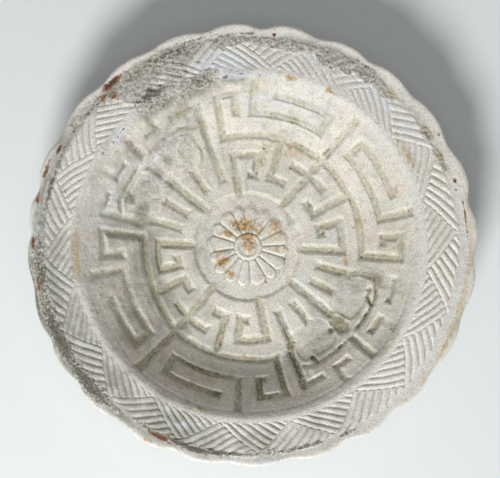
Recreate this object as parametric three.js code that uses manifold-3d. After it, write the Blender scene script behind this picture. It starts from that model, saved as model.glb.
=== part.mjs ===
// Moulded ceramic dish: a round well on a foot ring, a sloping wall, a flat
// hatched flange and a scalloped lip. Two fret panels and two mask panels are
// sunk into the well, and a flower stands on a sunk disc at its centre.
// Millimetres, +Z up, the foot stands on Z = 0.
import * as THREE from "three";
import { mergeVertices } from "three/addons/utils/BufferGeometryUtils.js";
import Module from "manifold-3d";

const wasm = await Module();
wasm.setup();

// Radii of the dish, from the centre outwards
const MEDALLION_RADIUS = 22.6;
const FLOOR_BEND_RADIUS = 43.5;
const FLOOR_RADIUS = 47.3;
const WALL_FOOT_RADIUS = 50.5;
const ARRIS_RADIUS = 69.8;
const FLANGE_START_RADIUS = 71.0;
const HATCH_INNER_RADIUS = 72.2;
const FLANGE_RADIUS = 83.8;
const LIP_CHANNEL_RADIUS = 85.2;
const LIP_RADIUS = 90;

// Heights of the upper side
const MEDALLION_TOP = 10.4;
const FLOOR_TOP = 11.4;
const FLOOR_EDGE_TOP = 12.7;
const WALL_FOOT_TOP = 15.1;
const ARRIS_TOP = 32.0;
const FLANGE_TOP = 32.5;
const LIP_CHANNEL_TOP = 32.3;
const LIP_TOP = 33.2;

// Heights of the under side, and the radii of its bends
const FOOT_HEIGHT = 6;
const MEDALLION_SEAT = 8.4;
const FLOOR_EDGE_UNDER = 7.2;
const ARRIS_UNDER = 26.4;
const FLANGE_BEND_RADIUS = 72.0;
const FLANGE_BEND_UNDER = 27.4;
const FLANGE_UNDER = 28.8;
const LIP_BELLY_RADIUS = 86.4;
const LIP_BELLY_UNDER = 29.4;

// Foot ring
const FOOT_OUTER_RADIUS = 45.6;
const FOOT_INNER_RADIUS = 39.4;
const FOOT_TAPER = 1.1;
const FOOT_EDGE = 0.5;

// Scalloped lip
const LOBE_COUNT = 24;
const LOBE_SWING = 0.8;
const LOBE_LIFT = 0.2;
const LOBE_PHASE = 4;
const OVAL_SWING = 0.77;
const OVAL_PHASE = 13;

// Sunk lines of the panels
const LINE_HALF = 1.5;
const LINE_DRAFT = 0.45;
const LINE_DEPTH = 1.05;
const LINE_CLEAR = 2;
const FRET_AXES = [49.5, 229];
const MASK_AXES = [140, 319.4];

// Levels that the panel lines keep to
const TOP_LEVEL = 66.6;
const UPPER_LEVEL = 62.2;
const BROW_LEVEL = 61.1;
const NOSE_TOP_LEVEL = 57.2;
const MIDDLE_LEVEL = 55.3;
const EYE_LEVEL = 53.4;
const NOSTRIL_LEVEL = 49.4;
const LOW_LEVEL = FLOOR_RADIUS;
const ARM_LEVEL = 38.9;
const HOOK_LEVEL = 30.4;
const INNER_LEVEL = MEDALLION_RADIUS;

// Hatched flange
const HATCH_REPEATS = 16;
const HATCH_PHASE = -9.25;
const HATCH_APEX = 0.54;
const STANDING_LINES = 7;
const HANGING_LINES = 7;
const FURROW_HALF = 0.8;
const FURROW_DEPTH = 0.65;
const FURROW_CLEAR = 0.35;
const FURROW_GAP = 0.05;

// Flower
const PETAL_COUNT = 16;
const PETAL_PHASE = 16.3;
const PETAL_START = 6.7;
const PETAL_LENGTH = 9.8;
const PETAL_HALF = 2.5;
const PETAL_RISE = 1.1;
const RING_OUTER_RADIUS = 6.0;
const RING_INNER_RADIUS = 3.9;
const RING_RISE = 1.3;
const BOSS_RADIUS = 3.2;
const BOSS_RISE = 1.5;

// Mask cheeks, one each side of the axis of a mask panel
const CHEEK_NEAR = 4;
const CHEEK_FAR = 22.5;
const CHEEK_INNER_RADIUS = 41.4;
const CHEEK_OUTER_RADIUS = 54.4;
const CHEEK_RISE = 0.8;

// How finely round shapes are cut
const RING_STEPS = 48;
const LIP_STEPS = 144;

const DEG = Math.PI / 180;

// Upper side of floor, wall and flange as one broken line
const GROUND = [
  [MEDALLION_RADIUS, FLOOR_TOP],
  [FLOOR_BEND_RADIUS, FLOOR_TOP],
  [FLOOR_RADIUS, FLOOR_EDGE_TOP],
  [WALL_FOOT_RADIUS, WALL_FOOT_TOP],
  [ARRIS_RADIUS, ARRIS_TOP],
  [FLANGE_START_RADIUS, FLANGE_TOP],
  [FLANGE_RADIUS, FLANGE_TOP],
];

// Height of the upper side at a radius
function groundHeight(radius) {
  const last = GROUND.length - 1;
  let i = 0;
  while (i < last - 1 && radius > GROUND[i + 1][0]) i += 1;
  const [r0, z0] = GROUND[i];
  const [r1, z1] = GROUND[i + 1];
  return z0 + ((radius - r0) * (z1 - z0)) / (r1 - r0);
}

// Point on the dish at an angle, a radius and a sideways step
function polar(angle, radius, side, z) {
  const c = Math.cos(angle * DEG);
  const s = Math.sin(angle * DEG);
  return new THREE.Vector3(radius * c - side * s, radius * s + side * c, z);
}

// Closed body turned about the dish's axis from a profile of radius and height
function turned(profile, steps) {
  const points = profile.map(([r, z]) => new THREE.Vector2(r, z));
  const geometry = new THREE.LatheGeometry(points, steps);
  geometry.rotateX(Math.PI / 2);
  return geometry;
}

// Ring of a closed profile: the last point joins the first again
function turnedRing(profile, steps) {
  return turned([...profile, profile[0]], steps);
}

// Closed body through a row of cross-sections with equal point counts
function swept(sections) {
  const count = sections[0].length;
  const flat = [];
  for (const section of sections) {
    for (const p of section) flat.push(p.x, p.y, p.z);
  }
  const faces = [];
  for (let i = 0; i + 1 < sections.length; i += 1) {
    for (let k = 0; k < count; k += 1) {
      const a = i * count + k;
      const b = i * count + ((k + 1) % count);
      faces.push(a, b, b + count, a, b + count, a + count);
    }
  }
  const end = (sections.length - 1) * count;
  for (let k = 1; k + 1 < count; k += 1) {
    faces.push(0, k + 1, k, end, end + k, end + k + 1);
  }
  const geometry = new THREE.BufferGeometry();
  geometry.setAttribute("position", new THREE.Float32BufferAttribute(flat, 3));
  geometry.setIndex(signedVolume(flat, faces) < 0 ? turnedOver(faces) : faces);
  return geometry;
}

function turnedOver(faces) {
  const flipped = [];
  for (let i = 0; i < faces.length; i += 3) {
    flipped.push(faces[i], faces[i + 2], faces[i + 1]);
  }
  return flipped;
}

function signedVolume(flat, faces) {
  const corner = (i) => new THREE.Vector3(flat[3 * i], flat[3 * i + 1], flat[3 * i + 2]);
  let six = 0;
  for (let i = 0; i < faces.length; i += 3) {
    const a = corner(faces[i]);
    const b = corner(faces[i + 1]);
    const c = corner(faces[i + 2]);
    six += a.dot(b.cross(c));
  }
  return six / 6;
}

function toSolid(geometry) {
  const bare = geometry.clone();
  bare.deleteAttribute("normal");
  bare.deleteAttribute("uv");
  const merged = mergeVertices(bare, 1e-4);
  return new wasm.Manifold(
    new wasm.Mesh({
      numProp: 3,
      vertProperties: new Float32Array(merged.attributes.position.array),
      triVerts: new Uint32Array(merged.index.array),
    }),
  );
}

function toGeometry(solid) {
  const mesh = solid.getMesh();
  const geometry = new THREE.BufferGeometry();
  geometry.setAttribute("position", new THREE.BufferAttribute(mesh.vertProperties, 3));
  geometry.setIndex(new THREE.BufferAttribute(mesh.triVerts, 1));
  return geometry;
}

// Cross-section of a sunk line: narrow below, open above the surface
function lineSection(placed) {
  const foot = LINE_HALF - LINE_DRAFT;
  const head = LINE_HALF + LINE_DRAFT;
  return [
    placed(-foot, -LINE_DEPTH),
    placed(foot, -LINE_DEPTH),
    placed(head, LINE_CLEAR),
    placed(-head, LINE_CLEAR),
  ];
}

// Cutter for a sunk line that runs straight out from the centre
function radialLine(angle, from, to) {
  const low = Math.min(from, to) - LINE_HALF;
  const high = Math.max(from, to) + LINE_HALF;
  const bends = GROUND.map(([r]) => r).filter((r) => r > low + 0.2 && r < high - 0.2);
  return swept(
    [low, ...bends, high].map((r) =>
      lineSection((side, rise) => polar(angle, r, side, groundHeight(r) + rise)),
    ),
  );
}

// Cutter for a sunk line that follows a circle of the dish, bent where the dish bends
function arcLine(radius, from, to) {
  const spare = LINE_HALF / radius / DEG;
  const low = Math.min(from, to) - spare;
  const high = Math.max(from, to) + spare;
  const step = 360 / RING_STEPS;
  const angles = [low];
  for (let angle = Math.ceil(low / step) * step; angle < high; angle += step) {
    if (angle - low > 0.4 && high - angle > 0.4) angles.push(angle);
  }
  angles.push(high);
  return swept(
    angles.map((angle) =>
      lineSection((side, rise) => {
        const r = radius + side;
        return polar(angle, r, 0, groundHeight(r) + rise);
      }),
    ),
  );
}

// Each path is a run of [degrees from the panel's axis, radius] corners
const FRET_HALF = [
  [[38, TOP_LEVEL], [38, MIDDLE_LEVEL], [8, MIDDLE_LEVEL], [8, UPPER_LEVEL], [29, UPPER_LEVEL]],
  [[45.4, MIDDLE_LEVEL], [45.4, UPPER_LEVEL], [54, UPPER_LEVEL], [54, LOW_LEVEL], [0, LOW_LEVEL]],
  [[51.5, INNER_LEVEL], [51.5, ARM_LEVEL], [34.7, ARM_LEVEL], [34.7, HOOK_LEVEL], [39.3, HOOK_LEVEL]],
  [[22.8, LOW_LEVEL], [22.8, HOOK_LEVEL], [13.7, HOOK_LEVEL]],
  [[11, ARM_LEVEL], [0, ARM_LEVEL]],
];
const FRET_AXIS = [[[0, INNER_LEVEL], [0, TOP_LEVEL]]];
const MASK_HALF = [
  [[27, BROW_LEVEL], [27, HOOK_LEVEL]],
  [[27, BROW_LEVEL], [20, BROW_LEVEL]],
  [[12.3, TOP_LEVEL], [12.3, BROW_LEVEL], [7.6, BROW_LEVEL]],
  [[12, HOOK_LEVEL], [12, ARM_LEVEL]],
];
const MASK_AXIS = [[[0, INNER_LEVEL], [0, NOSTRIL_LEVEL]], [[0, NOSE_TOP_LEVEL], [0, TOP_LEVEL]]];

// Eye and nostril of half a mask, short lines that also cut the cheek
const MASK_PITS = [
  [[19.6, EYE_LEVEL], [18, EYE_LEVEL]],
  [[5.4, NOSTRIL_LEVEL], [4.6, NOSTRIL_LEVEL]],
];

// Cutters for one path, on one side of a panel's axis
function pathLines(axis, side, path) {
  const lines = [];
  for (let i = 0; i + 1 < path.length; i += 1) {
    const [angle0, radius0] = path[i];
    const [angle1, radius1] = path[i + 1];
    if (angle0 === angle1) {
      lines.push(radialLine(axis + side * angle0, radius0, radius1));
    } else {
      lines.push(arcLine(radius0, axis + side * angle0, axis + side * angle1));
    }
  }
  return lines;
}

// Both halves of a panel and the lines on its axis
function panelLines(axis, half, axisPaths) {
  const lines = axisPaths.flatMap((path) => pathLines(axis, 1, path));
  for (const path of half) {
    lines.push(...pathLines(axis, 1, path), ...pathLines(axis, -1, path));
  }
  return lines;
}

// Cutter for one straight furrow of the flange, between two corners
function furrow([angle0, radius0], [angle1, radius1]) {
  const a = polar(angle0, radius0, 0, groundHeight(radius0));
  const b = polar(angle1, radius1, 0, groundHeight(radius1));
  const across = new THREE.Vector3(a.y - b.y, b.x - a.x, 0).setLength(FURROW_HALF);
  const section = (p) => [
    new THREE.Vector3(p.x, p.y, p.z - FURROW_DEPTH),
    new THREE.Vector3(p.x + across.x, p.y + across.y, p.z + FURROW_CLEAR),
    new THREE.Vector3(p.x - across.x, p.y - across.y, p.z + FURROW_CLEAR),
  ];
  return swept([section(a), section(b)]);
}

// Furrows of one triangle: each starts further along and is shorter than the one before
function triangleFurrows(lines, lean, place) {
  const furrows = [];
  for (let k = 0; k < lines; k += 1) {
    const shift = (k + FURROW_GAP) / lines;
    const low = FURROW_GAP;
    const high = 1 - shift - FURROW_GAP;
    if (high > low) furrows.push(furrow(place(shift + low * lean, low), place(shift + high * lean, high)));
  }
  return furrows;
}

// Furrows of the flange: a zigzag of triangles, standing and hanging by turns, each hatched along one side
function hatchFurrows() {
  const pitch = 360 / HATCH_REPEATS;
  const depth = FLANGE_RADIUS - HATCH_INNER_RADIUS;
  const furrows = [];
  for (let i = 0; i < HATCH_REPEATS; i += 1) {
    const start = HATCH_PHASE + i * pitch;
    const standing = (across, along) => [start + across * pitch, HATCH_INNER_RADIUS + along * depth];
    const hanging = (across, along) => [start + (HATCH_APEX + across) * pitch, FLANGE_RADIUS - along * depth];
    furrows.push(
      ...triangleFurrows(STANDING_LINES, HATCH_APEX, standing),
      ...triangleFurrows(HANGING_LINES, 1 - HATCH_APEX, hanging),
    );
  }
  return furrows;
}

// Push of the lip at an angle: lobes, and a body slightly out of round
function lobe(angle) {
  return Math.cos(LOBE_COUNT * (angle - LOBE_PHASE) * DEG);
}

function lipPush(angle) {
  return LOBE_SWING * lobe(angle) + OVAL_SWING * Math.cos(2 * (angle - OVAL_PHASE) * DEG);
}

// The lip is turned first, then its outer part follows the lobes
function scallopedLip() {
  const geometry = turnedRing(
    [
      [FLANGE_RADIUS, FLANGE_UNDER],
      [LIP_BELLY_RADIUS, LIP_BELLY_UNDER],
      [LIP_RADIUS - 0.5, LIP_TOP - 2.4],
      [LIP_RADIUS, LIP_TOP - 1.6],
      [LIP_RADIUS - 0.4, LIP_TOP - 0.5],
      [LIP_RADIUS - 1.6, LIP_TOP],
      [LIP_RADIUS - 3.2, LIP_TOP - 0.5],
      [LIP_CHANNEL_RADIUS, LIP_CHANNEL_TOP],
      [FLANGE_RADIUS, FLANGE_TOP],
    ],
    LIP_STEPS,
  );
  const position = geometry.attributes.position;
  for (let i = 0; i < position.count; i += 1) {
    const x = position.getX(i);
    const y = position.getY(i);
    const radius = Math.hypot(x, y);
    const angle = Math.atan2(y, x) / DEG;
    const share = Math.max(0, (radius - FLANGE_RADIUS) / (LIP_RADIUS - FLANGE_RADIUS));
    const grown = 1 + (share * lipPush(angle)) / radius;
    const lift = share * LOBE_LIFT * lobe(angle);
    position.setXYZ(i, x * grown, y * grown, position.getZ(i) + lift);
  }
  return geometry;
}

// One petal: a low arch that widens outwards and closes in a round tip
function petal(angle) {
  const stations = [
    [0, 0.42, 0.45],
    [0.14, 0.55, 0.85],
    [0.5, 0.8, 1],
    [0.78, 1, 1],
    [0.92, 0.78, 0.8],
    [1, 0.36, 0.35],
  ];
  return swept(
    stations.map(([along, wide, high]) => {
      const r = PETAL_START + along * PETAL_LENGTH;
      const w = wide * PETAL_HALF;
      const h = high * PETAL_RISE;
      const at = (side, rise) => polar(angle, r, side, MEDALLION_TOP + rise);
      return [at(-w, 0), at(w, 0), at(0.75 * w, 0.7 * h), at(0, h), at(-0.75 * w, 0.7 * h)];
    }),
  );
}

// One cheek: a soft pad that follows the bend from floor to wall
function cheek(axis, side) {
  const steps = 6;
  const sections = [];
  for (let i = 0; i <= steps; i += 1) {
    const t = i / steps;
    const angle = axis + side * (CHEEK_NEAR + (CHEEK_FAR - CHEEK_NEAR) * t);
    const swell = Math.sqrt(Math.max(0, 1 - (2 * t - 1) ** 4));
    const middle = (CHEEK_INNER_RADIUS + CHEEK_OUTER_RADIUS) / 2;
    const half = ((CHEEK_OUTER_RADIUS - CHEEK_INNER_RADIUS) / 2) * (0.62 + 0.38 * swell);
    const rise = CHEEK_RISE * (0.35 + 0.65 * swell);
    const at = (across, up) => {
      const r = middle + across * half;
      return polar(angle, r, 0, groundHeight(r) + up);
    };
    sections.push([
      at(-1, -1),
      at(0, -1),
      at(1, -1),
      at(1, 0.4 * rise),
      at(0.6, rise),
      at(0, rise),
      at(-0.6, rise),
      at(-1, 0.4 * rise),
    ]);
  }
  return swept(sections);
}

const wellFloor = toSolid(
  turned(
    [
      [0, FOOT_HEIGHT],
      [FOOT_OUTER_RADIUS, FOOT_HEIGHT],
      [FLOOR_RADIUS, FLOOR_EDGE_UNDER],
      [FLOOR_RADIUS, FLOOR_EDGE_TOP],
      [FLOOR_BEND_RADIUS, FLOOR_TOP],
      [MEDALLION_RADIUS, FLOOR_TOP],
      [MEDALLION_RADIUS, MEDALLION_SEAT],
      [0, MEDALLION_SEAT],
    ],
    RING_STEPS,
  ),
);

const cavettoWall = toSolid(
  turnedRing(
    [
      [FLOOR_RADIUS, FLOOR_EDGE_UNDER],
      [ARRIS_RADIUS, ARRIS_UNDER],
      [ARRIS_RADIUS, ARRIS_TOP],
      [WALL_FOOT_RADIUS, WALL_FOOT_TOP],
      [FLOOR_RADIUS, FLOOR_EDGE_TOP],
    ],
    RING_STEPS,
  ),
);

const rimFlange = toSolid(
  turnedRing(
    [
      [ARRIS_RADIUS, ARRIS_UNDER],
      [FLANGE_BEND_RADIUS, FLANGE_BEND_UNDER],
      [FLANGE_RADIUS, FLANGE_UNDER],
      [FLANGE_RADIUS, FLANGE_TOP],
      [FLANGE_START_RADIUS, FLANGE_TOP],
      [ARRIS_RADIUS, ARRIS_TOP],
    ],
    RING_STEPS,
  ),
);

const footRing = turnedRing(
  [
    [FOOT_INNER_RADIUS, FOOT_HEIGHT],
    [FOOT_INNER_RADIUS + FOOT_TAPER - 0.2, FOOT_EDGE],
    [FOOT_INNER_RADIUS + FOOT_TAPER + FOOT_EDGE, 0],
    [FOOT_OUTER_RADIUS - FOOT_TAPER - FOOT_EDGE, 0],
    [FOOT_OUTER_RADIUS - FOOT_TAPER + 0.2, FOOT_EDGE],
    [FOOT_OUTER_RADIUS, FOOT_HEIGHT],
  ],
  RING_STEPS,
);

const medallion = turned(
  [
    [0, MEDALLION_SEAT],
    [MEDALLION_RADIUS, MEDALLION_SEAT],
    [MEDALLION_RADIUS, MEDALLION_TOP],
    [0, MEDALLION_TOP],
  ],
  RING_STEPS,
);

const flowerRing = turnedRing(
  [
    [RING_INNER_RADIUS, MEDALLION_TOP],
    [RING_OUTER_RADIUS, MEDALLION_TOP],
    [RING_OUTER_RADIUS - 0.4, MEDALLION_TOP + RING_RISE * 0.75],
    [(RING_OUTER_RADIUS + RING_INNER_RADIUS) / 2, MEDALLION_TOP + RING_RISE],
    [RING_INNER_RADIUS + 0.4, MEDALLION_TOP + RING_RISE * 0.75],
  ],
  32,
);

const flowerBoss = turned(
  [
    [0, MEDALLION_TOP],
    [BOSS_RADIUS, MEDALLION_TOP],
    [BOSS_RADIUS * 0.9, MEDALLION_TOP + BOSS_RISE * 0.5],
    [BOSS_RADIUS * 0.55, MEDALLION_TOP + BOSS_RISE * 0.88],
    [0, MEDALLION_TOP + BOSS_RISE],
  ],
  24,
);

// Sunk lines of all four panels
const panelCutters = [];
for (const axis of FRET_AXES) panelCutters.push(...panelLines(axis, FRET_HALF, FRET_AXIS));
for (const axis of MASK_AXES) panelCutters.push(...panelLines(axis, [...MASK_HALF, ...MASK_PITS], MASK_AXIS));
let carvedFloor = wellFloor;
let carvedWall = cavettoWall;
for (const line of panelCutters) {
  const cutter = toSolid(line);
  carvedFloor = carvedFloor.subtract(cutter);
  carvedWall = carvedWall.subtract(cutter);
}
let hatchedFlange = rimFlange;
for (const line of hatchFurrows()) {
  hatchedFlange = hatchedFlange.subtract(toSolid(line));
}

const dish = new THREE.Group();
dish.name = "ceramic_dish";

function addPiece(name, geometry, color, roughness) {
  const material = new THREE.MeshStandardMaterial({ color, roughness, metalness: 0 });
  const piece = new THREE.Mesh(geometry, material);
  piece.name = name;
  dish.add(piece);
}

addPiece("foot_ring", footRing, "#c9b9a0", 0.85);
addPiece("well_floor", toGeometry(carvedFloor), "#d3ccbe", 0.55);
addPiece("cavetto_wall", toGeometry(carvedWall), "#d2cbbd", 0.55);
addPiece("rim_flange", toGeometry(hatchedFlange), "#cfcabf", 0.55);
addPiece("scalloped_lip", scallopedLip(), "#d6d1c6", 0.5);
addPiece("centre_medallion", medallion, "#d2cdc0", 0.55);
addPiece("flower_ring", flowerRing, "#c9b48f", 0.55);
addPiece("flower_boss", flowerBoss, "#c4a77a", 0.55);

for (let i = 0; i < PETAL_COUNT; i += 1) {
  const angle = PETAL_PHASE + (i * 360) / PETAL_COUNT;
  addPiece(`flower_petal_${String(i + 1).padStart(2, "0")}`, petal(angle), "#d9d2c3", 0.55);
}

const plainWell = wellFloor.add(cavettoWall);
let cheekNumber = 0;
for (const axis of MASK_AXES) {
  for (const side of [1, -1]) {
    cheekNumber += 1;
    let pad = toSolid(cheek(axis, side)).subtract(plainWell);
    for (const path of MASK_PITS) {
      for (const line of pathLines(axis, side, path)) pad = pad.subtract(toSolid(line));
    }
    addPiece(`mask_cheek_0${cheekNumber}`, toGeometry(pad), "#cbc4b6", 0.6);
  }
}

export default dish;
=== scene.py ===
"""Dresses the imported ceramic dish: relief, worn glaze and stains, as an add-on that runs as a script.

Sizes inside the surface functions are in millimetres and degrees. Angles run counter-clockwise from +X,
seen from above.
"""

import math

import bpy
import numpy as np
from mathutils import Matrix, Vector


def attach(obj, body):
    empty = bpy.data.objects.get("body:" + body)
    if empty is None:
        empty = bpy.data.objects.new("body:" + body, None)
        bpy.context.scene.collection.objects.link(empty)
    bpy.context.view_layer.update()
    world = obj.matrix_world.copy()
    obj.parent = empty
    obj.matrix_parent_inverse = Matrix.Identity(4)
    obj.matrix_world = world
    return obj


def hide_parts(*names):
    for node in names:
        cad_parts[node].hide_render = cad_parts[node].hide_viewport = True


bl_info = {
    "name": "Moulded Ceramic Dish",
    "version": (1, 0, 0),
    "blender": (4, 5, 0),
    "location": "View3D > Sidebar > Dish",
    "description": "Builds the relief, the worn glaze and the stage of a moulded ceramic dish",
    "category": "Object",
}

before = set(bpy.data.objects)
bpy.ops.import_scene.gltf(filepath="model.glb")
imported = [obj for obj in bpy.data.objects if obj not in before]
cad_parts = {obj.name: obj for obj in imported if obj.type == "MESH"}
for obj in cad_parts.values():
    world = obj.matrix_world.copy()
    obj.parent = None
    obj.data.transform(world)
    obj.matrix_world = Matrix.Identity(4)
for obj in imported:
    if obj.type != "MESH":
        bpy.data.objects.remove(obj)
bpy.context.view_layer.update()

DEG = math.pi / 180
MM = 0.001

# Radii that the pieces share, in millimetres from the centre outwards
MEDALLION_RADIUS = 22.6
FLOOR_RADIUS = 47.3
ARRIS_RADIUS = 69.8
HATCH_INNER_RADIUS = 72.2
FLANGE_RADIUS = 83.8
LIP_RADIUS = 90.0
FOOT_OUTER_RADIUS = 45.6
FOOT_INNER_RADIUS = 39.4

# Heights that the pieces share
FOOT_HEIGHT = 6.0
MEDALLION_SEAT = 8.4
FLOOR_TOP = 11.4
FLOOR_EDGE_UNDER = 7.2
ARRIS_UNDER = 26.4
FLANGE_UNDER = 28.8
FLANGE_TOP = 32.5

# Columns around each piece and rows across its top
GRIDS = {
    "centre_flower": (540, 108),
    "well_floor_relief": (900, 78),
    "sloping_wall_relief": (1080, 80),
    "hatched_flange": (1440, 58),
    "scalloped_lip_edge": (1200, 64),
}
FOOT_COLUMNS = 480
# Distance from a band's end to its extra row
SEAM_ROW = 0.04
# Smallest ring of the flower, round the point that closes it
FLOWER_FIRST_RING = 0.15
# Seat between flower and floor, from the outside to its smallest ring
SEAT = [(MEDALLION_RADIUS, MEDALLION_SEAT), (1.0, MEDALLION_SEAT)]

# Upper side of the plain dish as corners of radius and height, rounded by smoothed_ground
GROUND_CORNERS = [
    (0.0, FLOOR_TOP),
    (42.0, FLOOR_TOP),
    (44.6, 11.7),
    (47.3, 12.7),
    (49.4, 14.2),
    (51.0, 15.5),
    (69.3, 31.8),
    (70.6, 32.45),
    (71.6, FLANGE_TOP),
    (96.0, FLANGE_TOP),
]
# Step of the upper side's tables, how widely its corners are rounded, and how many steps that takes in
GROUND_STEP = 0.05
GROUND_ROUNDING = 0.55
GROUND_ROUNDING_STEPS = 60

# Under sides as corners of radius and height, from the outer edge inwards
FLOOR_UNDERSIDE = [
    (FLOOR_RADIUS, FLOOR_EDGE_UNDER),
    (FOOT_OUTER_RADIUS, FOOT_HEIGHT),
    (39.0, FOOT_HEIGHT),
    (30.0, FOOT_HEIGHT + 0.15),
    (15.0, FOOT_HEIGHT + 0.1),
    (1.2, FOOT_HEIGHT - 0.15),
]
FLOOR_UNDER_CENTRE = FOOT_HEIGHT - 0.2
WALL_UNDERSIDE = [(ARRIS_RADIUS, ARRIS_UNDER), (58.5, 16.9), (FLOOR_RADIUS, FLOOR_EDGE_UNDER)]
FLANGE_UNDERSIDE = [(FLANGE_RADIUS, FLANGE_UNDER), (72.5, 27.3), (ARRIS_RADIUS, ARRIS_UNDER)]

# Section of the lip from the flange's top edge over the crest to the flange's under edge
LIP_SECTION = [
    (FLANGE_RADIUS, FLANGE_TOP),
    (84.8, 32.4),
    (85.8, 32.42),
    (86.8, 32.55),
    (87.7, 32.72),
    (88.4, 32.8),
    (89.0, 32.72),
    (89.55, 32.45),
    (89.9, 31.95),
    (LIP_RADIUS, 31.4),
    (89.5, 30.8),
    (88.3, 30.1),
    (86.4, 29.4),
    (FLANGE_RADIUS, FLANGE_UNDER),
]
# Shares of the lip's rows: where its upper side ends, and the middle and half width of the lighter band
# along its crest, which is wear and painted highlight
LIP_UPPER = 0.62
LIP_CREST = 0.45
LIP_CREST_HALF = 0.07

# Section of the foot ring, once round
FOOT_SECTION = [
    (FOOT_INNER_RADIUS, FOOT_HEIGHT),
    (FOOT_OUTER_RADIUS, FOOT_HEIGHT),
    (45.3, 4.4),
    (44.7, 0.7),
    (44.45, 0.2),
    (44.0, 0.0),
    (41.0, 0.0),
    (40.55, 0.2),
    (40.3, 0.7),
    (39.7, 4.4),
    (FOOT_INNER_RADIUS, FOOT_HEIGHT),
]
FOOT_STEPS = 4
# Height between turning lines on the foot, and how far its top and base stay true
TURNING_PITCH = 1.7
FOOT_TRUE_END = 1.2

# How the well lies off its true circle: amounts in millimetres, and the angles where they are largest
DRAWN_IN = 3.3
PUSHED_OUT = 1.0
PUSHED_ANGLE = 280.0
PUSHED_HALF = 10.0
RING_OFF = 0.75
RING_OFF_ANGLE = 345.0
# Where they act, with soft ends: start, its width, end, its width, in degrees for the side and else in radius
DRAWN_SIDE = (167.0, 12.0, 240.0, 38.0)
DRAWN_BAND = (36.0, 7.0, 69.0, 4.0)
PUSHED_BAND = (43.0, 3.0, 53.0, 3.0)
RING_BAND = (22.0, 10.0, 52.0, 6.0)
# The wall starts early on that side and late on the next
EARLY_RISE = 1.9
EARLY_START = 36.0
EARLY_FULL = 48.0
EARLY_FADE = 21.5
LATE_FALL = 1.5
LATE_RADIUS = 48.2
LATE_INNER_HALF = 2.2
LATE_OUTER_HALF = 7.0
LATE_ANGLE = 266.0
LATE_HALF = 24.0

# The flower: radii of its parts, and where its petals are rubbed vague
PETAL_REACH = 14.7
PETAL_SCALLOP = 1.9
PETAL_START = 5.4
CREASE_HALF = 0.42
CREASE_END = 17.0
FLOWER_RING_RADIUS = 4.75
FLOWER_RING_HALF = 1.2
FLOWER_DOME_RADIUS = 3.2
FLOWER_BASE_RADIUS = 5.8
VAGUE_ANGLE = 70.0
VAGUE_HALF = 50.0

# The hatching: slip of its repeats round the flange, their start, and the top of a triangle across its repeat
HATCH_SLIP = 1.55
HATCH_SLIP_ANGLE = 58.0
HATCH_START = -9.25
HATCH_APEX = 0.54

# The rim: how far it is oval, three-sided, off centre and warped, and the angles where that is largest
RIM_OVAL = 0.77
RIM_OVAL_ANGLE = 13.0
RIM_THREE = 0.38
RIM_THREE_ANGLE = -6.0
RIM_SHIFT = 1.7
RIM_SHIFT_ANGLE = 17.0
RIM_WARP = 0.28

# Fine groove below the arris
GROOVE_RADIUS = 67.4
GROOVE_HALF = 0.45
GROOVE_DEPTH = 0.15

# Radii of the rings that the sunk lines of the well run along or end at
TRACKS = {
    "disc": 22.0,
    "hook": 30.4,
    "cross": 38.9,
    "bend": 43.2,
    "ring": 47.0,
    "hub": 48.6,
    "nose": 49.0,
    "hub_end": 52.0,
    "eye_in": 53.3,
    "eye": 53.4,
    "meander": 55.3,
    "lash": 56.1,
    "nose_end": 57.2,
    "brow": 61.1,
    "outer": 62.2,
    "rim": 66.6,
}

# Angles of the upright lines in each half of the two fret panels, and their half width
FRET_HALVES = [
    {
        "axis": 49.6, "axis_out": 49.8, "stem": 27.0, "hook": 36.0, "arm": 38.6, "key": 15.0,
        "curl": 10.2, "edge": -2.7, "near": 42.2, "far": 11.8, "tail": 19.9, "frame": -4.7,
        "return": 3.7, "return_end": 1.8, "half": 1.54,
    },
    {
        "axis": 49.6, "axis_out": 49.8, "stem": 72.2, "hook": 62.0, "arm": 60.3, "key": 84.7,
        "curl": 88.4, "edge": 99.5, "near": 58.2, "far": 88.3, "tail": 79.5, "frame": 102.8,
        "return": 95.7, "return_end": 95.5, "half": 1.52,
    },
    {
        "axis": 229.2, "axis_out": 227.9, "stem": 206.9, "hook": 215.6, "arm": 219.7, "key": 195.0,
        "curl": 189.8, "edge": 177.9, "near": 220.5, "far": 190.8, "tail": 200.8, "frame": 174.7,
        "return": 183.7, "return_end": 183.9, "half": 1.6,
    },
    {
        "axis": 229.2, "axis_out": 227.9, "stem": 253.0, "hook": 244.6, "arm": 241.8, "key": 264.1,
        "curl": 268.7, "edge": 281.5, "near": 236.2, "far": 265.7, "tail": 257.5, "frame": 283.6,
        "return": 274.0, "return_end": 275.8, "half": 1.58,
    },
]
# Lines of half a fret panel, as corners on an angle and a track
FRET_PATHS = [
    [("axis_out", "rim"), ("axis", "ring"), ("axis", "disc")],
    [("tail", "outer"), ("near", "outer"), ("near", "meander"), ("far", "meander"), ("far", "rim")],
    [("axis", "ring"), ("stem", "ring"), ("frame", "ring"), ("frame", "outer"), ("return", "outer")],
    [("return", "outer"), ("return", "meander"), ("return_end", "meander")],
    [("stem", "ring"), ("stem", "hook"), ("hook", "hook")],
    [("axis", "cross"), ("arm", "cross")],
    [("edge", "disc"), ("edge", "cross"), ("key", "cross"), ("key", "hook"), ("curl", "hook")],
]

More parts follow.
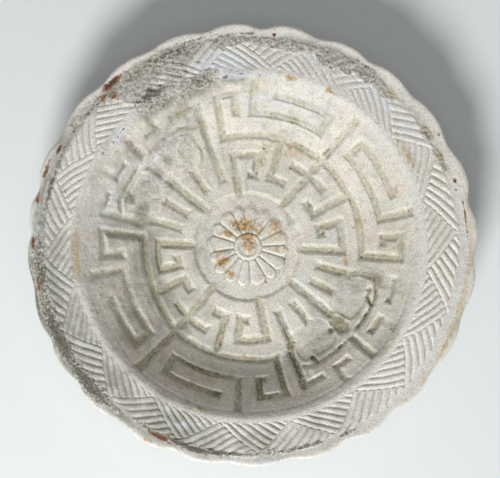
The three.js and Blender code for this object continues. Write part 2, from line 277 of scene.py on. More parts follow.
# Angles in each half of the two mask panels, how far its eye curls, and how deep its lines are left
MASK_HALVES = [
    {
        "axis": 139.7, "axis_out": 139.8, "tooth": 151.5, "frame": 164.8, "frame_out": 167.2, "ell": 152.8,
        "ell_end": 147.8, "bar": 160.4, "eye": 159.2, "eye_turn": 1.0, "lash": 152.8, "nostril": 144.8,
        "worn": 0.8, "axis_depth": 0.3, "frame_depth": 0.9, "arm_depth": 0.75, "brow_depth": 0.8,
        "pit_depth": 0.3, "nostril_depth": 0.3, "hub_depth": 0.35, "tip_depth": 0.9,
    },
    {
        "axis": 139.7, "axis_out": 139.8, "tooth": 126.5, "frame": 111.1, "frame_out": 111.1, "ell": 128.6,
        "ell_end": 132.6, "bar": 121.2, "eye": 119.4, "eye_turn": 0.5, "lash": 128.6, "nostril": 135.8,
        "worn": 0.8, "axis_depth": 0.3, "frame_depth": 1.0, "arm_depth": 1.0, "brow_depth": 0.9,
        "pit_depth": 0.1, "nostril_depth": 0.1, "hub_depth": 0.35, "tip_depth": 1.0,
    },
    {
        "axis": 320.5, "axis_out": 318.4, "tooth": 331.6, "frame": 344.9, "frame_out": 346.8, "ell": 330.8,
        "ell_end": 325.6, "bar": 338.9, "eye": 340.2, "eye_turn": 1.0, "lash": 330.8, "nostril": 323.9,
        "worn": 1.0, "axis_depth": 0.85, "frame_depth": 0.75, "arm_depth": 0.3, "brow_depth": 0.9,
        "pit_depth": 1.5, "nostril_depth": 0.4, "hub_depth": 0.9, "tip_depth": 0.3,
    },
    {
        "axis": 320.5, "axis_out": 318.4, "tooth": 308.5, "frame": 294.3, "frame_out": 291.6, "ell": 305.8,
        "ell_end": 310.4, "bar": 298.7, "eye": 299.8, "eye_turn": 0.1, "lash": 311.6, "nostril": 314.5,
        "worn": 1.0, "axis_depth": 0.85, "frame_depth": 1.0, "arm_depth": 0.7, "brow_depth": 0.5,
        "pit_depth": 1.5, "nostril_depth": 1.1, "hub_depth": 0.9, "tip_depth": 1.0,
    },
]
# Lines of half a mask: half width, share of the full depth or its name, corners on an angle and a track
MASK_PATHS = [
    (1.65, 1.0, [("axis", "disc"), ("axis", "bend")]),
    (1.5, "axis_depth", [("axis", "bend"), ("axis_mid", "hub")]),
    (1.45, 0.95, [("axis_out", "nose_end"), ("axis_out", "rim")]),
    (1.47, 1.0, [("tooth", "cross"), ("tooth", "hook")]),
    (1.55, 1.0, [("frame", "hook"), ("frame", "bend")]),
    (1.55, "frame_depth", [("frame", "bend"), ("frame_out", "ring"), ("frame_out", "eye")]),
    (1.55, "tip_depth", [("frame_out", "eye"), ("frame_out", "brow")]),
    (1.3, "arm_depth", [("ell", "rim"), ("ell", "brow")]),
    (1.35, 0.95, [("ell", "brow"), ("ell_end", "brow")]),
    (1.35, 0.9, [("frame_out", "brow"), ("bar", "brow")]),
]
# Round-ended pits and curls of half a mask, laid out the same way
MASK_CURLS = [
    (0.75, "pit_depth", [("eye", "eye"), ("eye_side", "eye"), ("eye_tail", "lash")]),
    (1.0, "pit_depth", [("eye", "eye_in"), ("eye", "eye")]),
    (2.4, "hub_depth", [("axis_mid", "ring"), ("axis_mid", "nose")]),
    (3.0, "hub_depth", [("axis_mid", "nose"), ("axis_mid", "hub_end")]),
    (1.3, "nostril_depth", [("nostril", "nose"), ("nostril", "hub")]),
    (0.7, "pit_depth", [("lash", "lash"), ("lash_side", "lash")]),
    (0.95, "brow_depth", [("frame_out", "eye"), ("bar", "lash"), ("ell", "lash"), ("nostril", "lash")]),
]
# Sideways ends of the curls, as shares of the way from the eye to the axis
EYE_SIDE = 0.14
EYE_TAIL = 0.27
LASH_SIDE = 0.08
# Share of its half width by which a square line runs on past its corners
STROKE_END = 0.92
# Farthest that a line reaches past the radii of its corners
LINE_REACH = 5

# Middle lines of the two masks and half their width. The first is worn lumpy, within an angle of its own
MASK_AXES = (139.8, 319.4)
MASK_HALF = 24.6
LUMPY_HALF = 60.0
# Outline of a mask's eye and cheek: middle and half size, in degrees from the axis and millimetres outwards
CHEEK_MIDDLE = 14.4
LUMPY_CHEEK_MIDDLE = 0.84 * CHEEK_MIDDLE
CHEEK_HALF = 10.4
CHEEK_RADIUS = 47.5
CHEEK_REACH = 8.0
# Radii where the brow over them starts and ends
BROW_RADIUS = 56.0
BROW_END = 66.0

# Parts of the well that are rubbed low: angle, half angle, how much, and the radius where they start
RUBBED = [(MASK_AXES[0], 24.0, 0.6), (200.0, 15.0, 1.3)]
RUBBED_FROM = 41.0

# Parts of the hatching that are rubbed low, in the same way
HATCH_RUBBED = [(68.0, 46.0, 0.6), (140.0, 14.0, 0.25)]

# Angles of the lip's lobes, listed one by one
LOBE_ANGLES = [
    4.0, 18.5, 36.0, 50.5, 63.5, 80.0, 94.5, 110.5, 125.0, 140.5, 159.0, 171.5,
    183.0, 199.0, 211.5, 225.0, 242.5, 256.5, 271.5, 288.5, 303.0, 317.5, 333.5, 350.0,
]

# Marks on the glaze: angle, radius, half angle, half width, strength
# Gritty crust
CRUST_MARKS = [
    (114, 79.5, 8.5, 8, 0.95),
    (122, 71, 8, 4.0, 1.2),
    (127.5, 78, 7.5, 7.0, 0.85),
    (97, 83.0, 11, 3.0, 1.0),
    (80, 82.4, 12, 2.7, 1.0),
    (66, 81.6, 7, 4.0, 1.15),
    (56, 83.0, 6, 3.2, 1.1),
    (48, 81.6, 3.5, 2.5, 0.95),
    (32, 84.0, 3, 1.8, 0.95),
    (24.5, 84.0, 3.5, 1.6, 0.95),
    (28, 83.4, 10, 0.9, 0.7),
    (142, 85.0, 5, 3.0, 0.85),
    (153.5, 85.6, 4.5, 1.4, 0.9),
    (164, 84.5, 8, 1.5, 1.15),
    (178, 85.6, 4, 1.4, 0.6),
    (186, 86.0, 10, 2.8, 1.25),
    (197, 86.0, 7, 2.8, 1.25),
    (208, 86.4, 9, 3.2, 1.3),
    (220, 86.6, 9, 3.0, 1.25),
    (229, 86.6, 4, 1.8, 0.85),
    (237, 84.6, 6, 0.8, 0.6),
    (256, 84.8, 14, 1.3, 1.0),
    (274, 83.6, 5, 1.8, 0.7),
    (285, 84.3, 9, 1.0, 0.8),
    (297, 85.2, 3, 0.9, 0.85),
    (118, 66, 10, 3.0, 0.62),
    (114, 69.5, 9, 3.2, 1.0),
    (122, 83.5, 8, 3.5, 1.1),
    (107, 69.5, 7, 3.0, 1.05),
    (145, 86, 7, 2.4, 0.85),
]
# Darkest and coarsest parts of the crust, and painted shade: the marks at radii of 42 to 63 mm paint shadow
# along lines of the well
HEAVY_CRUST_AND_SHADE_MARKS = [
    (206, 86.2, 12, 2.8, 1.05),
    (220, 86.4, 9, 2.8, 1.05),
    (187, 85.8, 9, 2.2, 0.85),
    (254, 85.3, 8, 1.1, 1.15),
    (262, 84.6, 6, 0.9, 1.05),
    (249, 84.6, 5, 1.0, 0.95),
    (164, 84.4, 7, 1.0, 0.85),
    (153, 85.2, 3, 0.8, 0.6),
    (124, 73.2, 4, 1.6, 1.0),
    (129, 73.4, 3, 0.8, 0.7),
    (122.5, 72.6, 4, 1.8, 1.0),
    (66, 82.0, 6, 3.6, 0.4),
    (80, 82.8, 10, 1.8, 0.4),
    (56, 83.0, 5, 2.2, 0.5),
    (112, 83.6, 7, 3.0, 0.65),
    (96, 83.2, 9, 1.8, 0.36),
    (104, 86.2, 6, 0.4, 0.7),
    (92, 85.8, 5, 0.4, 0.7),
    (137, 86.2, 2.5, 1.6, 0.6),
    (32, 84.0, 2.5, 1.2, 0.45),
    (24.5, 84.0, 3, 1.0, 0.45),
    (285, 84.2, 7, 0.7, 0.85),
    (297, 85.2, 2.5, 0.6, 0.85),
    (275, 83.2, 3, 1.4, 0.6),
    (341, 16.1, 2.5, 0.8, 0.75),
    (320.5, 16.6, 3, 0.9, 0.8),
    (297, 16.4, 3, 1.0, 0.75),
    (293.4, 42, 0.8, 6, 0.8),
    (291.4, 53, 0.9, 8, 1.0),
    (290.4, 61, 0.9, 4, 0.7),
    (257, 62.2, 2.2, 1.4, 0.7),
    (243, 55, 5, 1.0, 0.5),
    (274.5, 56.5, 1.2, 2.5, 0.6),
    (283.4, 53, 1.0, 5, 0.6),
    (276, 84.2, 8, 0.9, 0.7),
    (240, 84.6, 5, 0.8, 0.8),
    (107, 69.4, 6, 2.6, 0.75),
    (124, 83, 6, 2.5, 0.55),
    (124, 69, 5.5, 2.8, 0.6),
    (141.5, 84.8, 3, 1.0, 0.6),
    (147, 85.5, 2.5, 0.8, 0.5),
]
# Greenish grey film of soil, and painted shade: many of these marks darken the floor's edge, the wall,
# the arris and the lip where shade falls
FILM_AND_SHADE_MARKS = [
    (188, 41.5, 24, 6.5, 0.8),
    (212, 41, 18, 6.0, 0.85),
    (172, 57, 26, 9, 0.4),
    (212, 60, 24, 9, 0.42),
    (137, 49, 10, 5, 0.65),
    (120, 62, 14, 8, 0.55),
    (104, 68, 7, 3.5, 0.7),
    (162, 42, 8, 4, 0.6),
    (150, 46, 8, 4, 0.5),
    (214, 79, 36, 8, 0.78),
    (245, 80, 20, 8, 0.88),
    (185, 80, 20, 7, 0.64),
    (270, 80, 16, 7, 0.62),
    (292, 79, 16, 8, 0.5),
    (152, 85.2, 16, 1.8, 0.85),
    (182, 86.0, 22, 2.4, 1.4),
    (215, 86.4, 26, 2.8, 1.0),
    (66, 85, 15, 2.2, 0.7),
    (33, 85, 12, 1.6, 0.35),
    (340, 41, 18, 9, 0.55),
    (347, 53, 4, 5, 0.7),
    (331, 50, 10, 5, 0.32),
    (306, 50, 10, 5, 0.45),
    (250, 60, 30, 9, 0.25),
    (75, 60, 45, 9, 0.3),
    (150, 36, 30, 12, 0.46),
    (210, 36, 26, 11, 0.5),
    (125, 56, 18, 9, 0.6),
    (182, 19, 46, 8, 0.46),
    (30, 21, 20, 3.5, 0.4),
    (185, 10, 60, 7, 0.3),
    (0, 58, 16, 9, 0.3),
    (350, 86.6, 20, 2.5, 0.36),
    (122, 84.2, 14, 2.0, 1.4),
    (92, 70.5, 16, 3.0, 0.42),
    (240, 38, 16, 8, 0.42),
    (148, 58, 14, 8, 0.42),
    (115, 68, 12, 4, 1.2),
    (150, 71, 16, 3, 0.4),
    (120, 82, 14, 4, 0.9),
    (180, 32, 20, 8, 0.42),
    (319.8, 48.5, 3.4, 4.5, 0.6),
    (184, 86, 18, 2.2, 1.3),
    (182, 71, 14, 2.0, 0.75),
    (30, 36, 16, 9, 0.26),
    (140, 36, 14, 10, 0.4),
    (121, 70.5, 8, 2.6, 1.1),
    (150, 87, 12, 2.0, 0.7),
    (212, 89, 18, 1.8, 0.9),
    (158.4, 53.2, 2.4, 2.2, 1.3),
    (139.8, 60.5, 3, 6, 0.55),
    (128, 48, 9, 7, 0.45),
    (151, 47, 8, 7, 0.5),
    (345.6, 55.2, 3, 2.2, 0.9),
    (320.5, 43, 2.4, 5, 0.5),
    (240, 70.4, 12, 2.0, 0.5),
    (272, 87.4, 16, 2.4, 0.2),
    (243, 87.6, 8, 2.0, 0.2),
    (208, 70.4, 10, 1.6, 0.3),
    (126, 67.5, 5, 3, 0.9),
    (96, 68.8, 4.5, 2.4, 1.3),
    (162.5, 46, 6, 3, 1.2),
    (193, 81, 7, 4, 1.1),
    (230.5, 43.5, 6, 4, 0.8),
    (316, 40, 5, 5, 0.7),
    (140, 68, 6, 3, 0.3),
    (111.3, 50, 1.8, 9, 0.9),
    (196, 88.5, 15, 3, 1.2),
    (319, 50.5, 4.5, 3.5, 0.35),
    (196, 89.5, 13, 2.2, 1.5),
    (78, 50.5, 24, 3, 0.4),
    (325, 67.9, 14, 2.0, 0.45),
]
# Parts where soil is thick in the lines, and painted shade: many marks darken lines and pits on the shaded
# wall where shadow falls
SOIL_AND_SHADE_MARKS = [
    (320.5, 36, 5, 12, 1.0),
    (250, 60, 40, 9, 0.6),
    (212, 45, 26, 4, 0.5),
    (275, 38, 20, 10, 0.5),
    (331.5, 36, 3, 7, 0.9),
    (308.5, 37, 4, 7, 1.0),
    (294, 46, 4, 20, 1.0),
    (346, 48, 5, 18, 0.8),
    (253, 40, 4, 10, 0.8),
    (262, 47, 26, 3, 0.35),
    (250, 55, 14, 3, 0.9),
    (266, 58, 4, 10, 0.7),
    (274.5, 59, 3.5, 6, 1.2),
    (228, 58, 3, 12, 0.7),
    (74, 55.3, 15, 2.6, 0.8),
    (82, 62.2, 14, 2.2, 0.45),
    (60, 58, 2.6, 6, 0.5),
    (60, 47, 10, 3, 0.8),
    (95, 47, 10, 3, 0.5),
    (12, 31.5, 5, 3, 0.9),
    (-4, 35, 3, 10, 0.7),
    (34, 31, 6, 2.5, 0.8),
    (-4, 52, 4, 6, 0.8),
    (186, 44, 12, 3, 0.8),
    (192, 29.6, 6, 3, 0.5),
    (87, 30, 4, 2, 0.9),
    (128, 35, 3, 6, 0.6),
    (50.4, 51.0, 2.4, 2.2, 1.1),
    (30, 55.3, 16, 2.4, 0.5),
    (42, 58, 2.6, 6, 0.5),
    (24, 47, 20, 2.6, 0.6),
    (72, 40, 3, 8, 0.6),
    (85, 34, 4, 6, 0.6),
    (49.6, 34, 3, 10, 0.45),
    (345, 52, 3, 7, 0.9),
    (320, 50, 5, 4, 0.9),
    (335, 56, 10, 1.6, 0.8),
    (306, 56, 8, 1.6, 0.5),
    (283.6, 55, 2.5, 9, 1.1),
    (341, 55.4, 8, 1.3, 0.9),
    (328, 55.6, 8, 1.2, 0.6),
    (319.5, 50, 6, 4, 1.0),
    (130.5, 61, 4, 2.4, 1.1),
    (117, 62, 8, 2.5, 1.2),
    (139.8, 61, 3, 6, 1.1),
    (150, 61.5, 5, 2.5, 1.5),
    (152, 56, 9, 2.0, 0.9),
    (158.6, 53.6, 2.5, 2.0, 1.8),
    (123, 56.2, 9, 1.5, 0.9),
    (161, 61.5, 4, 2.5, 1.6),
    (314.4, 49, 1.8, 1.5, 1.3),
    (323.9, 48.6, 1.8, 1.5, 1.1),
    (319.8, 49.5, 3.0, 4.0, 0.9),
    (345.6, 55.2, 3, 2.2, 1.2),
    (320.4, 45.5, 2.6, 4, 0.9),
    (283, 56, 1.6, 5, 0.9),
    (275, 57.5, 1.6, 3, 0.9),
    (257.5, 62, 3, 1.5, 1.0),
    (266.3, 60.5, 1.4, 4.5, 0.7),
    (250, 55.2, 4, 1.5, 0.7),
    (278.5, 61.3, 3, 1.4, 0.6),
    (239, 58.3, 2, 2.5, 0.5),
    (111.3, 46, 1.2, 7, 0.45),
    (314.8, 49.2, 1.6, 1.6, 0.7),
    (4, 54.9, 2.8, 0.8, 0.9),
    (-0.5, 62.3, 3.4, 0.8, 0.8),
    (1.5, 47.3, 7, 1.0, 0.6),
    (6.5, 39, 8, 1.0, 0.5),
    (85, 47.5, 24, 1.3, 0.4),
    (80, 55.3, 14, 1.3, 0.45),
    (70, 62.2, 12, 1.2, 0.3),
]
# Rust-brown patches
RUST_MARKS = [
    (130.8, 86.6, 3.2, 1.3, 1.35),
    (135.0, 84.4, 1.4, 1.2, 1.0),
    (132.6, 81.8, 1.2, 1.2, 0.95),
    (130.0, 80.3, 1.6, 0.7, 0.7),
    (147.5, 85.3, 1.2, 0.8, 0.6),
    (153.6, 87.0, 1.6, 0.7, 1.0),
    (160.5, 88.3, 2.6, 0.8, 0.95),
    (157.8, 88.6, 1.0, 0.6, 0.9),
    (168.0, 88.4, 1.8, 0.8, 0.9),
    (180.0, 88.4, 2.4, 0.8, 1.0),
    (184.0, 89.0, 2.0, 0.5, 0.7),
    (189.5, 87.6, 3.0, 0.7, 0.75),
    (201.0, 88.9, 1.0, 0.5, 0.6),
    (225.5, 88.8, 0.8, 0.6, 0.6),
    (238.6, 86.8, 0.8, 0.5, 0.7),
    (244.6, 85.8, 2.4, 0.9, 1.45),
    (248.0, 86.4, 1.6, 0.5, 0.85),
    (8.0, 87.4, 6.0, 0.4, 0.95),
    (15.2, 86.0, 0.4, 0.4, 0.7),
    (17.4, 86.4, 0.7, 0.7, 1.2),
    (20.5, 88.0, 0.5, 0.4, 0.55),
    (28.2, 85.0, 0.5, 0.7, 0.7),
    (30.4, 88.0, 0.5, 0.4, 0.55),
    (54.5, 86.0, 1.2, 0.5, 0.55),
    (57.3, 86.2, 1.4, 0.7, 0.85),
    (60.0, 86.2, 1.0, 0.6, 0.6),
    (83.6, 85.6, 0.6, 0.9, 1.0),
    (133.2, 83.2, 1.6, 0.9, 0.9),
    (137.5, 84.2, 1.4, 0.7, 0.8),
]
# Iron stain, yellow to orange
OCHRE_MARKS = [
    (77, 69.9, 2.6, 1.2, 0.95),
    (62.5, 70.3, 2.2, 1.0, 0.85),
    (31, 73.2, 5.5, 1.6, 0.6),
    (185, 70.4, 6, 0.6, 0.7),
    (252, 68.8, 4, 1.0, 0.5),
    (334, 88.0, 4, 0.8, 0.75),
    (346, 87.6, 5, 0.5, 0.6),
    (244, 89.2, 3.5, 0.6, 0.6),
    (70, 0.8, 180, 2.2, 1.1),
    (87, 4.6, 50, 1.8, 1.15),
    (100, 9.0, 34, 3.4, 1.0),
    (60, 8.0, 16, 2.2, 0.8),
    (148, 9.6, 14, 3.0, 0.8),
    (30, 14.0, 17, 2.4, 0.85),
    (356, 13.2, 9, 2.4, 0.5),
    (193, 12.4, 9, 2.4, 0.75),
    (212, 12.6, 9, 2.8, 1.05),
    (236, 13.4, 8, 2.4, 0.9),
    (80, 38.5, 2.0, 3.6, 0.75),
    (66, 43.5, 3.0, 2.4, 0.6),
    (-8.6, 41.6, 2.2, 1.4, 0.75),
    (13, 47.8, 4.0, 1.6, 0.5),
    (20.5, 63.0, 2.4, 2.2, 0.45),
    (91, 25.0, 3.0, 1.0, 0.6),
    (268, 46.0, 8, 1.2, 0.45),
    (254.4, 42.0, 0.8, 2.0, 0.7),
]
# Smooth yellowish stain
TAN_MARKS = [
    (342, 88.3, 16, 1.3, 0.95),
    (357, 88.6, 12, 1.0, 0.85),
    (325, 88.4, 10, 1.0, 0.75),
    (12, 88.8, 10, 0.8, 0.6),
    (31, 73.8, 8, 2.5, 0.65),
    (20, 79, 9, 4, 0.4),
    (60, 74, 10, 2, 0.4),
    (78, 75.5, 8, 3, 0.45),
    (47, 84, 2.5, 1.8, 0.95),
    (32, 84.6, 2.5, 1.8, 0.95),
    (24.5, 84.4, 3.5, 1.4, 0.95),
    (285, 85.5, 12, 1.5, 0.45),
    (309, 88, 10, 1.2, 0.35),
    (0, 58, 14, 9, 0.5),
    (20, 44, 14, 4, 0.4),
    (80, 40, 14, 8, 0.45),
    (226, 60, 24, 8, 0.45),
    (252, 56, 14, 7, 0.55),
    (0, 78, 18, 6, 0.4),
    (70, 44, 26, 4, 0.5),
    (36, 46, 20, 3, 0.45),
    (22, 12, 26, 4, 0.6),
    (122, 84.4, 10, 1.6, 0.6),
    (248, 60, 24, 9, 0.5),
    (30, 86, 12, 2, 0.6),
    (112, 82, 12, 6, 0.35),
    (319.8, 48.5, 3.4, 4.5, 0.4),
    (118, 62, 10, 3, 0.4),
    (183, 70.3, 9, 0.9, 1.3),
    (345.6, 55.2, 3, 2.2, 0.5),
    (225, 38, 30, 10, 0.35),
    (111.3, 48, 1.6, 9, 0.5),
    (319, 50, 4.5, 3.5, 0.5),
    (6.5, 39, 8, 1.2, 0.5),
    (262, 46.5, 22, 2.2, 0.4),
    (327, 69.5, 10, 0.8, 0.75),
]
# Parts where little soil is left in the lines
CLEAN_MARKS = [
    (36, 58, 30, 24, 0.4),
    (48, 36, 40, 10, 0.35),
    (180, 62, 30, 8, 0.3),
]
# Parts rubbed brighter, and painted light: the marks along the arris on the side that faces the lamp, on a
# groove floor there and on the disc's shaded edge paint highlight
WORN_AND_HIGHLIGHT_MARKS = [
    (208, 70.4, 16, 1.6, 1.0),
    (238, 70.2, 14, 1.2, 0.45),
    (268, 70.6, 16, 1.9, 0.85),
    (290, 70.6, 16, 1.6, 0.55),
    (322, 70.6, 20, 1.2, 0.3),
    (316, 20.6, 24, 2.4, 0.55),
    (126, 88.6, 14, 1.5, 1.2),
    (100, 88.8, 16, 1.2, 0.7),
    (62, 88.6, 22, 1.4, 0.8),
    (30, 88.8, 14, 1.2, 0.6),
    (268, 49, 18, 1.9, 1.0),
    (262, 88.6, 16, 1.2, 1.0),
]
# Parts whose edges stay dull
DULL_MARKS = [
    (202, 58, 20, 12, 1.0),
    (190, 45, 30, 5, 0.7),
]
# Bluish decayed glaze
BLUISH_MARKS = [
    (97, 74.0, 7, 5.0, 1.0),
    (89, 70.6, 4, 1.2, 0.8),
    (106, 77.0, 5, 4.0, 0.8),
    (142.6, 66.8, 2.0, 1.8, 1.0),
    (136.8, 69.4, 3.0, 1.4, 0.95),
    (50, 79.5, 6, 2.4, 0.8),
    (38, 79.0, 7, 3.0, 0.7),
    (72, 81.0, 5, 2.0, 0.75),
    (352, 86.4, 14, 1.4, 0.7),
    (305, 86.4, 10, 1.4, 0.6),
    (325, 84.0, 12, 2.0, 0.6),
    (165, 74.0, 14, 4.0, 0.5),
    (20, 40.0, 14, 4.0, 0.5),
    (330, 27.0, 20, 4.0, 0.55),
    (300, 30.0, 16, 4.0, 0.5),
    (185, 15.0, 8, 2.0, 0.6),
    (250, 12.0, 30, 3.0, 0.45),
    (318, 34, 16, 8, 0.6),
    (300, 37, 10, 8, 0.5),
    (335, 46, 8, 6, 0.55),
    (103, 77, 6, 3.5, 1.0),
    (57, 80, 4, 1.6, 0.85),
    (70, 79, 2, 1.2, 0.9),
    (45, 79.3, 4, 2.0, 0.95),
    (78, 60, 36, 10, 0.55),
    (165, 62, 20, 8, 0.65),
    (10, 86, 6, 0.8, 0.8),
    (198, 78, 36, 6, 0.5),
    (248, 78, 28, 6, 0.48),
    (312, 78, 24, 6, 0.45),
    (102, 75, 8, 2.2, 1.1),
    (112, 76, 6, 1.6, 0.9),
    (185, 86.5, 16, 2.4, 1.0),
    (270, 87.5, 18, 2.0, 0.6),
    (95, 69.2, 5, 1.6, 1.1),
    (132, 56, 22, 10, 0.5),
    (141.5, 69.0, 4.5, 1.8, 0.95),
]
# Single dark grains and pin holes
GRAIN_MARKS = [
    (81, 41.6, 0.9, 0.7, 1.0),
    (81.2, 36.0, 0.9, 0.7, 1.0),
    (92.6, 26.8, 1.4, 0.6, 1.0),
    (91.5, 23.5, 2.0, 0.5, 0.8),
    (61.5, 37.2, 1.2, 0.6, 0.8),
    (63.3, 30.0, 1.0, 0.5, 0.7),
    (32.5, 36.0, 0.9, 0.5, 0.7),
    (33.5, 35.0, 0.8, 0.5, 0.6),
    (9.6, 31.8, 1.2, 1.0, 0.85),
    (-3.9, 32.0, 0.7, 6.0, 0.5),
    (7.0, 35.5, 0.8, 0.6, 0.7),
    (254.0, 42.5, 0.5, 1.0, 0.95),
    (280.0, 26.0, 1.2, 3.0, 0.55),
    (279.2, 25.4, 0.9, 0.8, 0.9),
    (128.8, 38.4, 0.7, 1.4, 0.6),
    (130, 26.2, 0.7, 0.4, 0.8),
    (186.5, 41.9, 0.7, 0.5, 0.9),
    (176.5, 45.4, 1.4, 0.5, 0.9),
    (12.2, 66.6, 1.6, 0.8, 0.9),
    (-5.0, 62.8, 1.0, 1.6, 0.6),
    (-5.4, 48.0, 1.4, 1.0, 0.8),
    (87, 69.0, 0.4, 0.9, 1.0),
    (249.5, 54.8, 1.6, 0.8, 0.8),
    (242.0, 54.6, 1.2, 0.6, 0.7),
    (257.5, 62.4, 1.4, 1.2, 0.7),
    (275.4, 55.8, 0.6, 1.0, 0.8),
    (240.0, 68.6, 0.5, 0.5, 0.9),
    (341.8, 69.6, 0.6, 0.4, 0.9),
    (343.8, 30.8, 0.9, 2.0, 0.5),
    (330.4, 31.4, 0.8, 1.2, 0.6),
    (299.8, 53.3, 1.3, 1.3, 1.1),
    (314.4, 49.2, 0.8, 0.6, 0.9),
    (136.2, 69.9, 0.6, 0.5, 1.0),
    (137.9, 69.6, 0.9, 0.5, 1.0),
    (139.3, 69.6, 0.4, 0.4, 1.1),
    (141.0, 69.1, 0.5, 0.4, 1.1),
    (143.1, 69.2, 1.0, 0.6, 1.0),
    (148.5, 70.2, 0.8, 0.8, 0.9),
    (127, 73.5, 4.0, 1.2, 0.75),
    (120.5, 74.5, 3.0, 1.2, 0.8),
    (259, 85.6, 4.0, 0.7, 0.8),
    (267, 84.8, 2.0, 0.5, 0.8),
    (125, 10.7, 4, 0.7, 1.0),
    (120, 8.8, 4, 0.6, 1.0),
    (113, 10.0, 3, 0.5, 0.9),
    (76.5, 11.1, 2, 0.8, 0.9),
    (213, 13.7, 2.5, 0.6, 1.1),
    (95, 3.0, 20, 0.5, 0.9),
    (251, 84.6, 2, 0.6, 1.0),
    (256.5, 85.2, 1.5, 0.5, 1.0),
    (246, 84.2, 2, 0.5, 0.9),
    (269, 84.6, 2.5, 0.4, 1.0),
    (118.9, 85.0, 0.6, 0.6, 1.3),
    (98.6, 69.0, 1.2, 1.0, 1.0),
    (93.0, 69.6, 1.6, 0.6, 0.9),
    (123.5, 75.0, 1.2, 1.2, 1.2),
    (243.4, 85.6, 1.2, 0.6, 1.0),
    (245.6, 86.0, 0.9, 0.4, 0.9),
    (250, 85.2, 3, 0.9, 0.95),
    (255, 85.7, 4, 1.1, 1.05),
    (260.5, 85.5, 3, 0.8, 0.95),
]

# Layers that are laid out by marks alone, and all layers of numbers on a piece's points
MARKS = {
    "film": FILM_AND_SHADE_MARKS,
    "tan": TAN_MARKS,
    "bluish": BLUISH_MARKS,
    "ochre": OCHRE_MARKS,
    "heavy": HEAVY_CRUST_AND_SHADE_MARKS,
    "rust": RUST_MARKS,
    "grain": GRAIN_MARKS,
}
LAYERS = ("rim", "sunk", "soil", "crease", "worn", "crust", *MARKS)
# How fast a mark fades from its middle
MARK_FADE = 0.7

# Mottling of the glaze: patch size in millimetres, noise from and to, most, colour
MOTTLES = [
    (16.0, 0.38, 0.62, 1.0, "glaze_grey"),
    (11.0, 0.50, 0.66, 0.75, "glaze_pink"),
    (8.0, 0.52, 0.66, 0.7, "glaze_cool"),
    (5.0, 0.50, 0.72, 0.35, "soil_film"),
    (1.3, 0.66, 0.74, 0.6, "speck"),
]
# Coats over it: layer, patch size in millimetres, how far patches reach, layer from and to, most, colour
COATS = [
    ("rim", 16.0, 0.0, 0.0, 1.0, 0.75, "glaze_rim"),
    # Rubbed edges, and painted highlight where the worn marks lighten the arris, a groove floor and the
    # disc's edge
    ("worn", 5.0, 0.8, 0.1, 1.0, 0.7, "worn_edge_and_highlight"),
    # Grey film: soil film, and painted shade where its marks darken the floor's edge, wall, arris and lip
    ("film", 5.0, 0.9, 0.1, 0.9, 0.85, "grey_film_and_shade"),
    ("film", 0.8, 2.8, 1.05, 1.45, 0.5, "grit"),
    ("sunk", 2.0, 1.8, 0.25, 1.2, 0.66, "soil"),
    # Dark creases: soil and painted shade along the foot of the line walls
    ("crease", 1.6, 1.6, 0.35, 1.2, 0.5, "heavy_soil_and_shade"),
    # Thick soil in the lines, partly painted shadow in lines and pits
    ("soil", 1.6, 1.6, 0.3, 1.0, 0.85, "heavy_soil_and_shade"),
    ("bluish", 3.2, 1.6, 0.3, 1.0, 0.65, "blue_glint"),
    ("ochre", 2.2, 2.6, 0.2, 1.05, 0.85, "ochre_stain"),
    ("ochre", 1.1, 2.6, 0.85, 1.4, 0.85, "ochre_dark"),
    ("crust", 5.0, 0.8, 0.3, 0.9, 0.92, "crust_pale"),
    ("tan", 4.0, 1.2, 0.2, 1.1, 0.7, "tan_stain"),
    ("crust", 1.1, 2.6, 0.75, 1.5, 0.75, "crust_dark"),
    ("crust", 0.8, 2.6, 1.3, 1.5, 0.7, "grit"),
    ("crust", 1.5, 2.8, 1.15, 1.6, 0.8, "crust_light"),
    # Darkest crust, and painted shadow along some lines of the well
    ("heavy", 1.0, 2.2, 0.3, 0.95, 0.88, "heavy_crust_and_shade"),
    ("rust", 2.6, 2.0, 0.35, 0.85, 0.92, "rust"),
    ("rust", 1.6, 2.2, 0.75, 1.15, 0.92, "rust_dark"),
    ("grain", 2.4, 1.2, 0.5, 0.95, 0.8, "grit"),
]
# Grain sizes of the two finishes and the spacing of the clay's turning rings, in millimetres
GLAZE_GRIT = 0.6
GLAZE_PATCHES = 2.0
CLAY_PATCHES = 14.0
CLAY_GRIT = 0.9
CLAY_RINGS = 10.053
# Depth of the finest grain, in millimetres
BUMP_DEPTH = 0.5
# Radians to a metre of a wave texture of scale 1
WAVE_TURN = 20
# Places of the colour sockets on a Mix node, which share their names with others
MIX_SHARE, MIX_UNDER, MIX_OVER, MIX_RESULT = 0, 6, 7, 2

# Stage: half the floor's width, and lamps as direction from the dish, distance and diameter, in metres
FLOOR_HALF = 3.0
LAMPS = {
    "key": ((-0.227, -0.712, 0.661), 1.3, 0.42),
    "overhead": ((0.0, 0.0, 1.0), 1.6, 1.2),
}
# Picture in pixels: its width, the rim's radius, and the rim's centre right of and below the middle
PICTURE_WIDTH = 500
RIM_PIXELS = 223.5
RIM_RIGHT = 1.3
RIM_BELOW = 5.8
# Camera: height that it aims at in metres, tilt from straight above, its bearing, sensor in millimetres
AIM_HEIGHT = 0.0345
CAMERA_TILT = 3.8
CAMERA_BEARING = 212.0
SENSOR_WIDTH = 36.0


def srgb(code):
    """Linear red, green, blue and alpha of an sRGB hex colour."""
    parts = [int(code[i : i + 2], 16) / 255 for i in (1, 3, 5)]
    return tuple(c / 12.92 if c <= 0.04045 else ((c + 0.055) / 1.055) ** 2.4 for c in parts) + (1.0,)


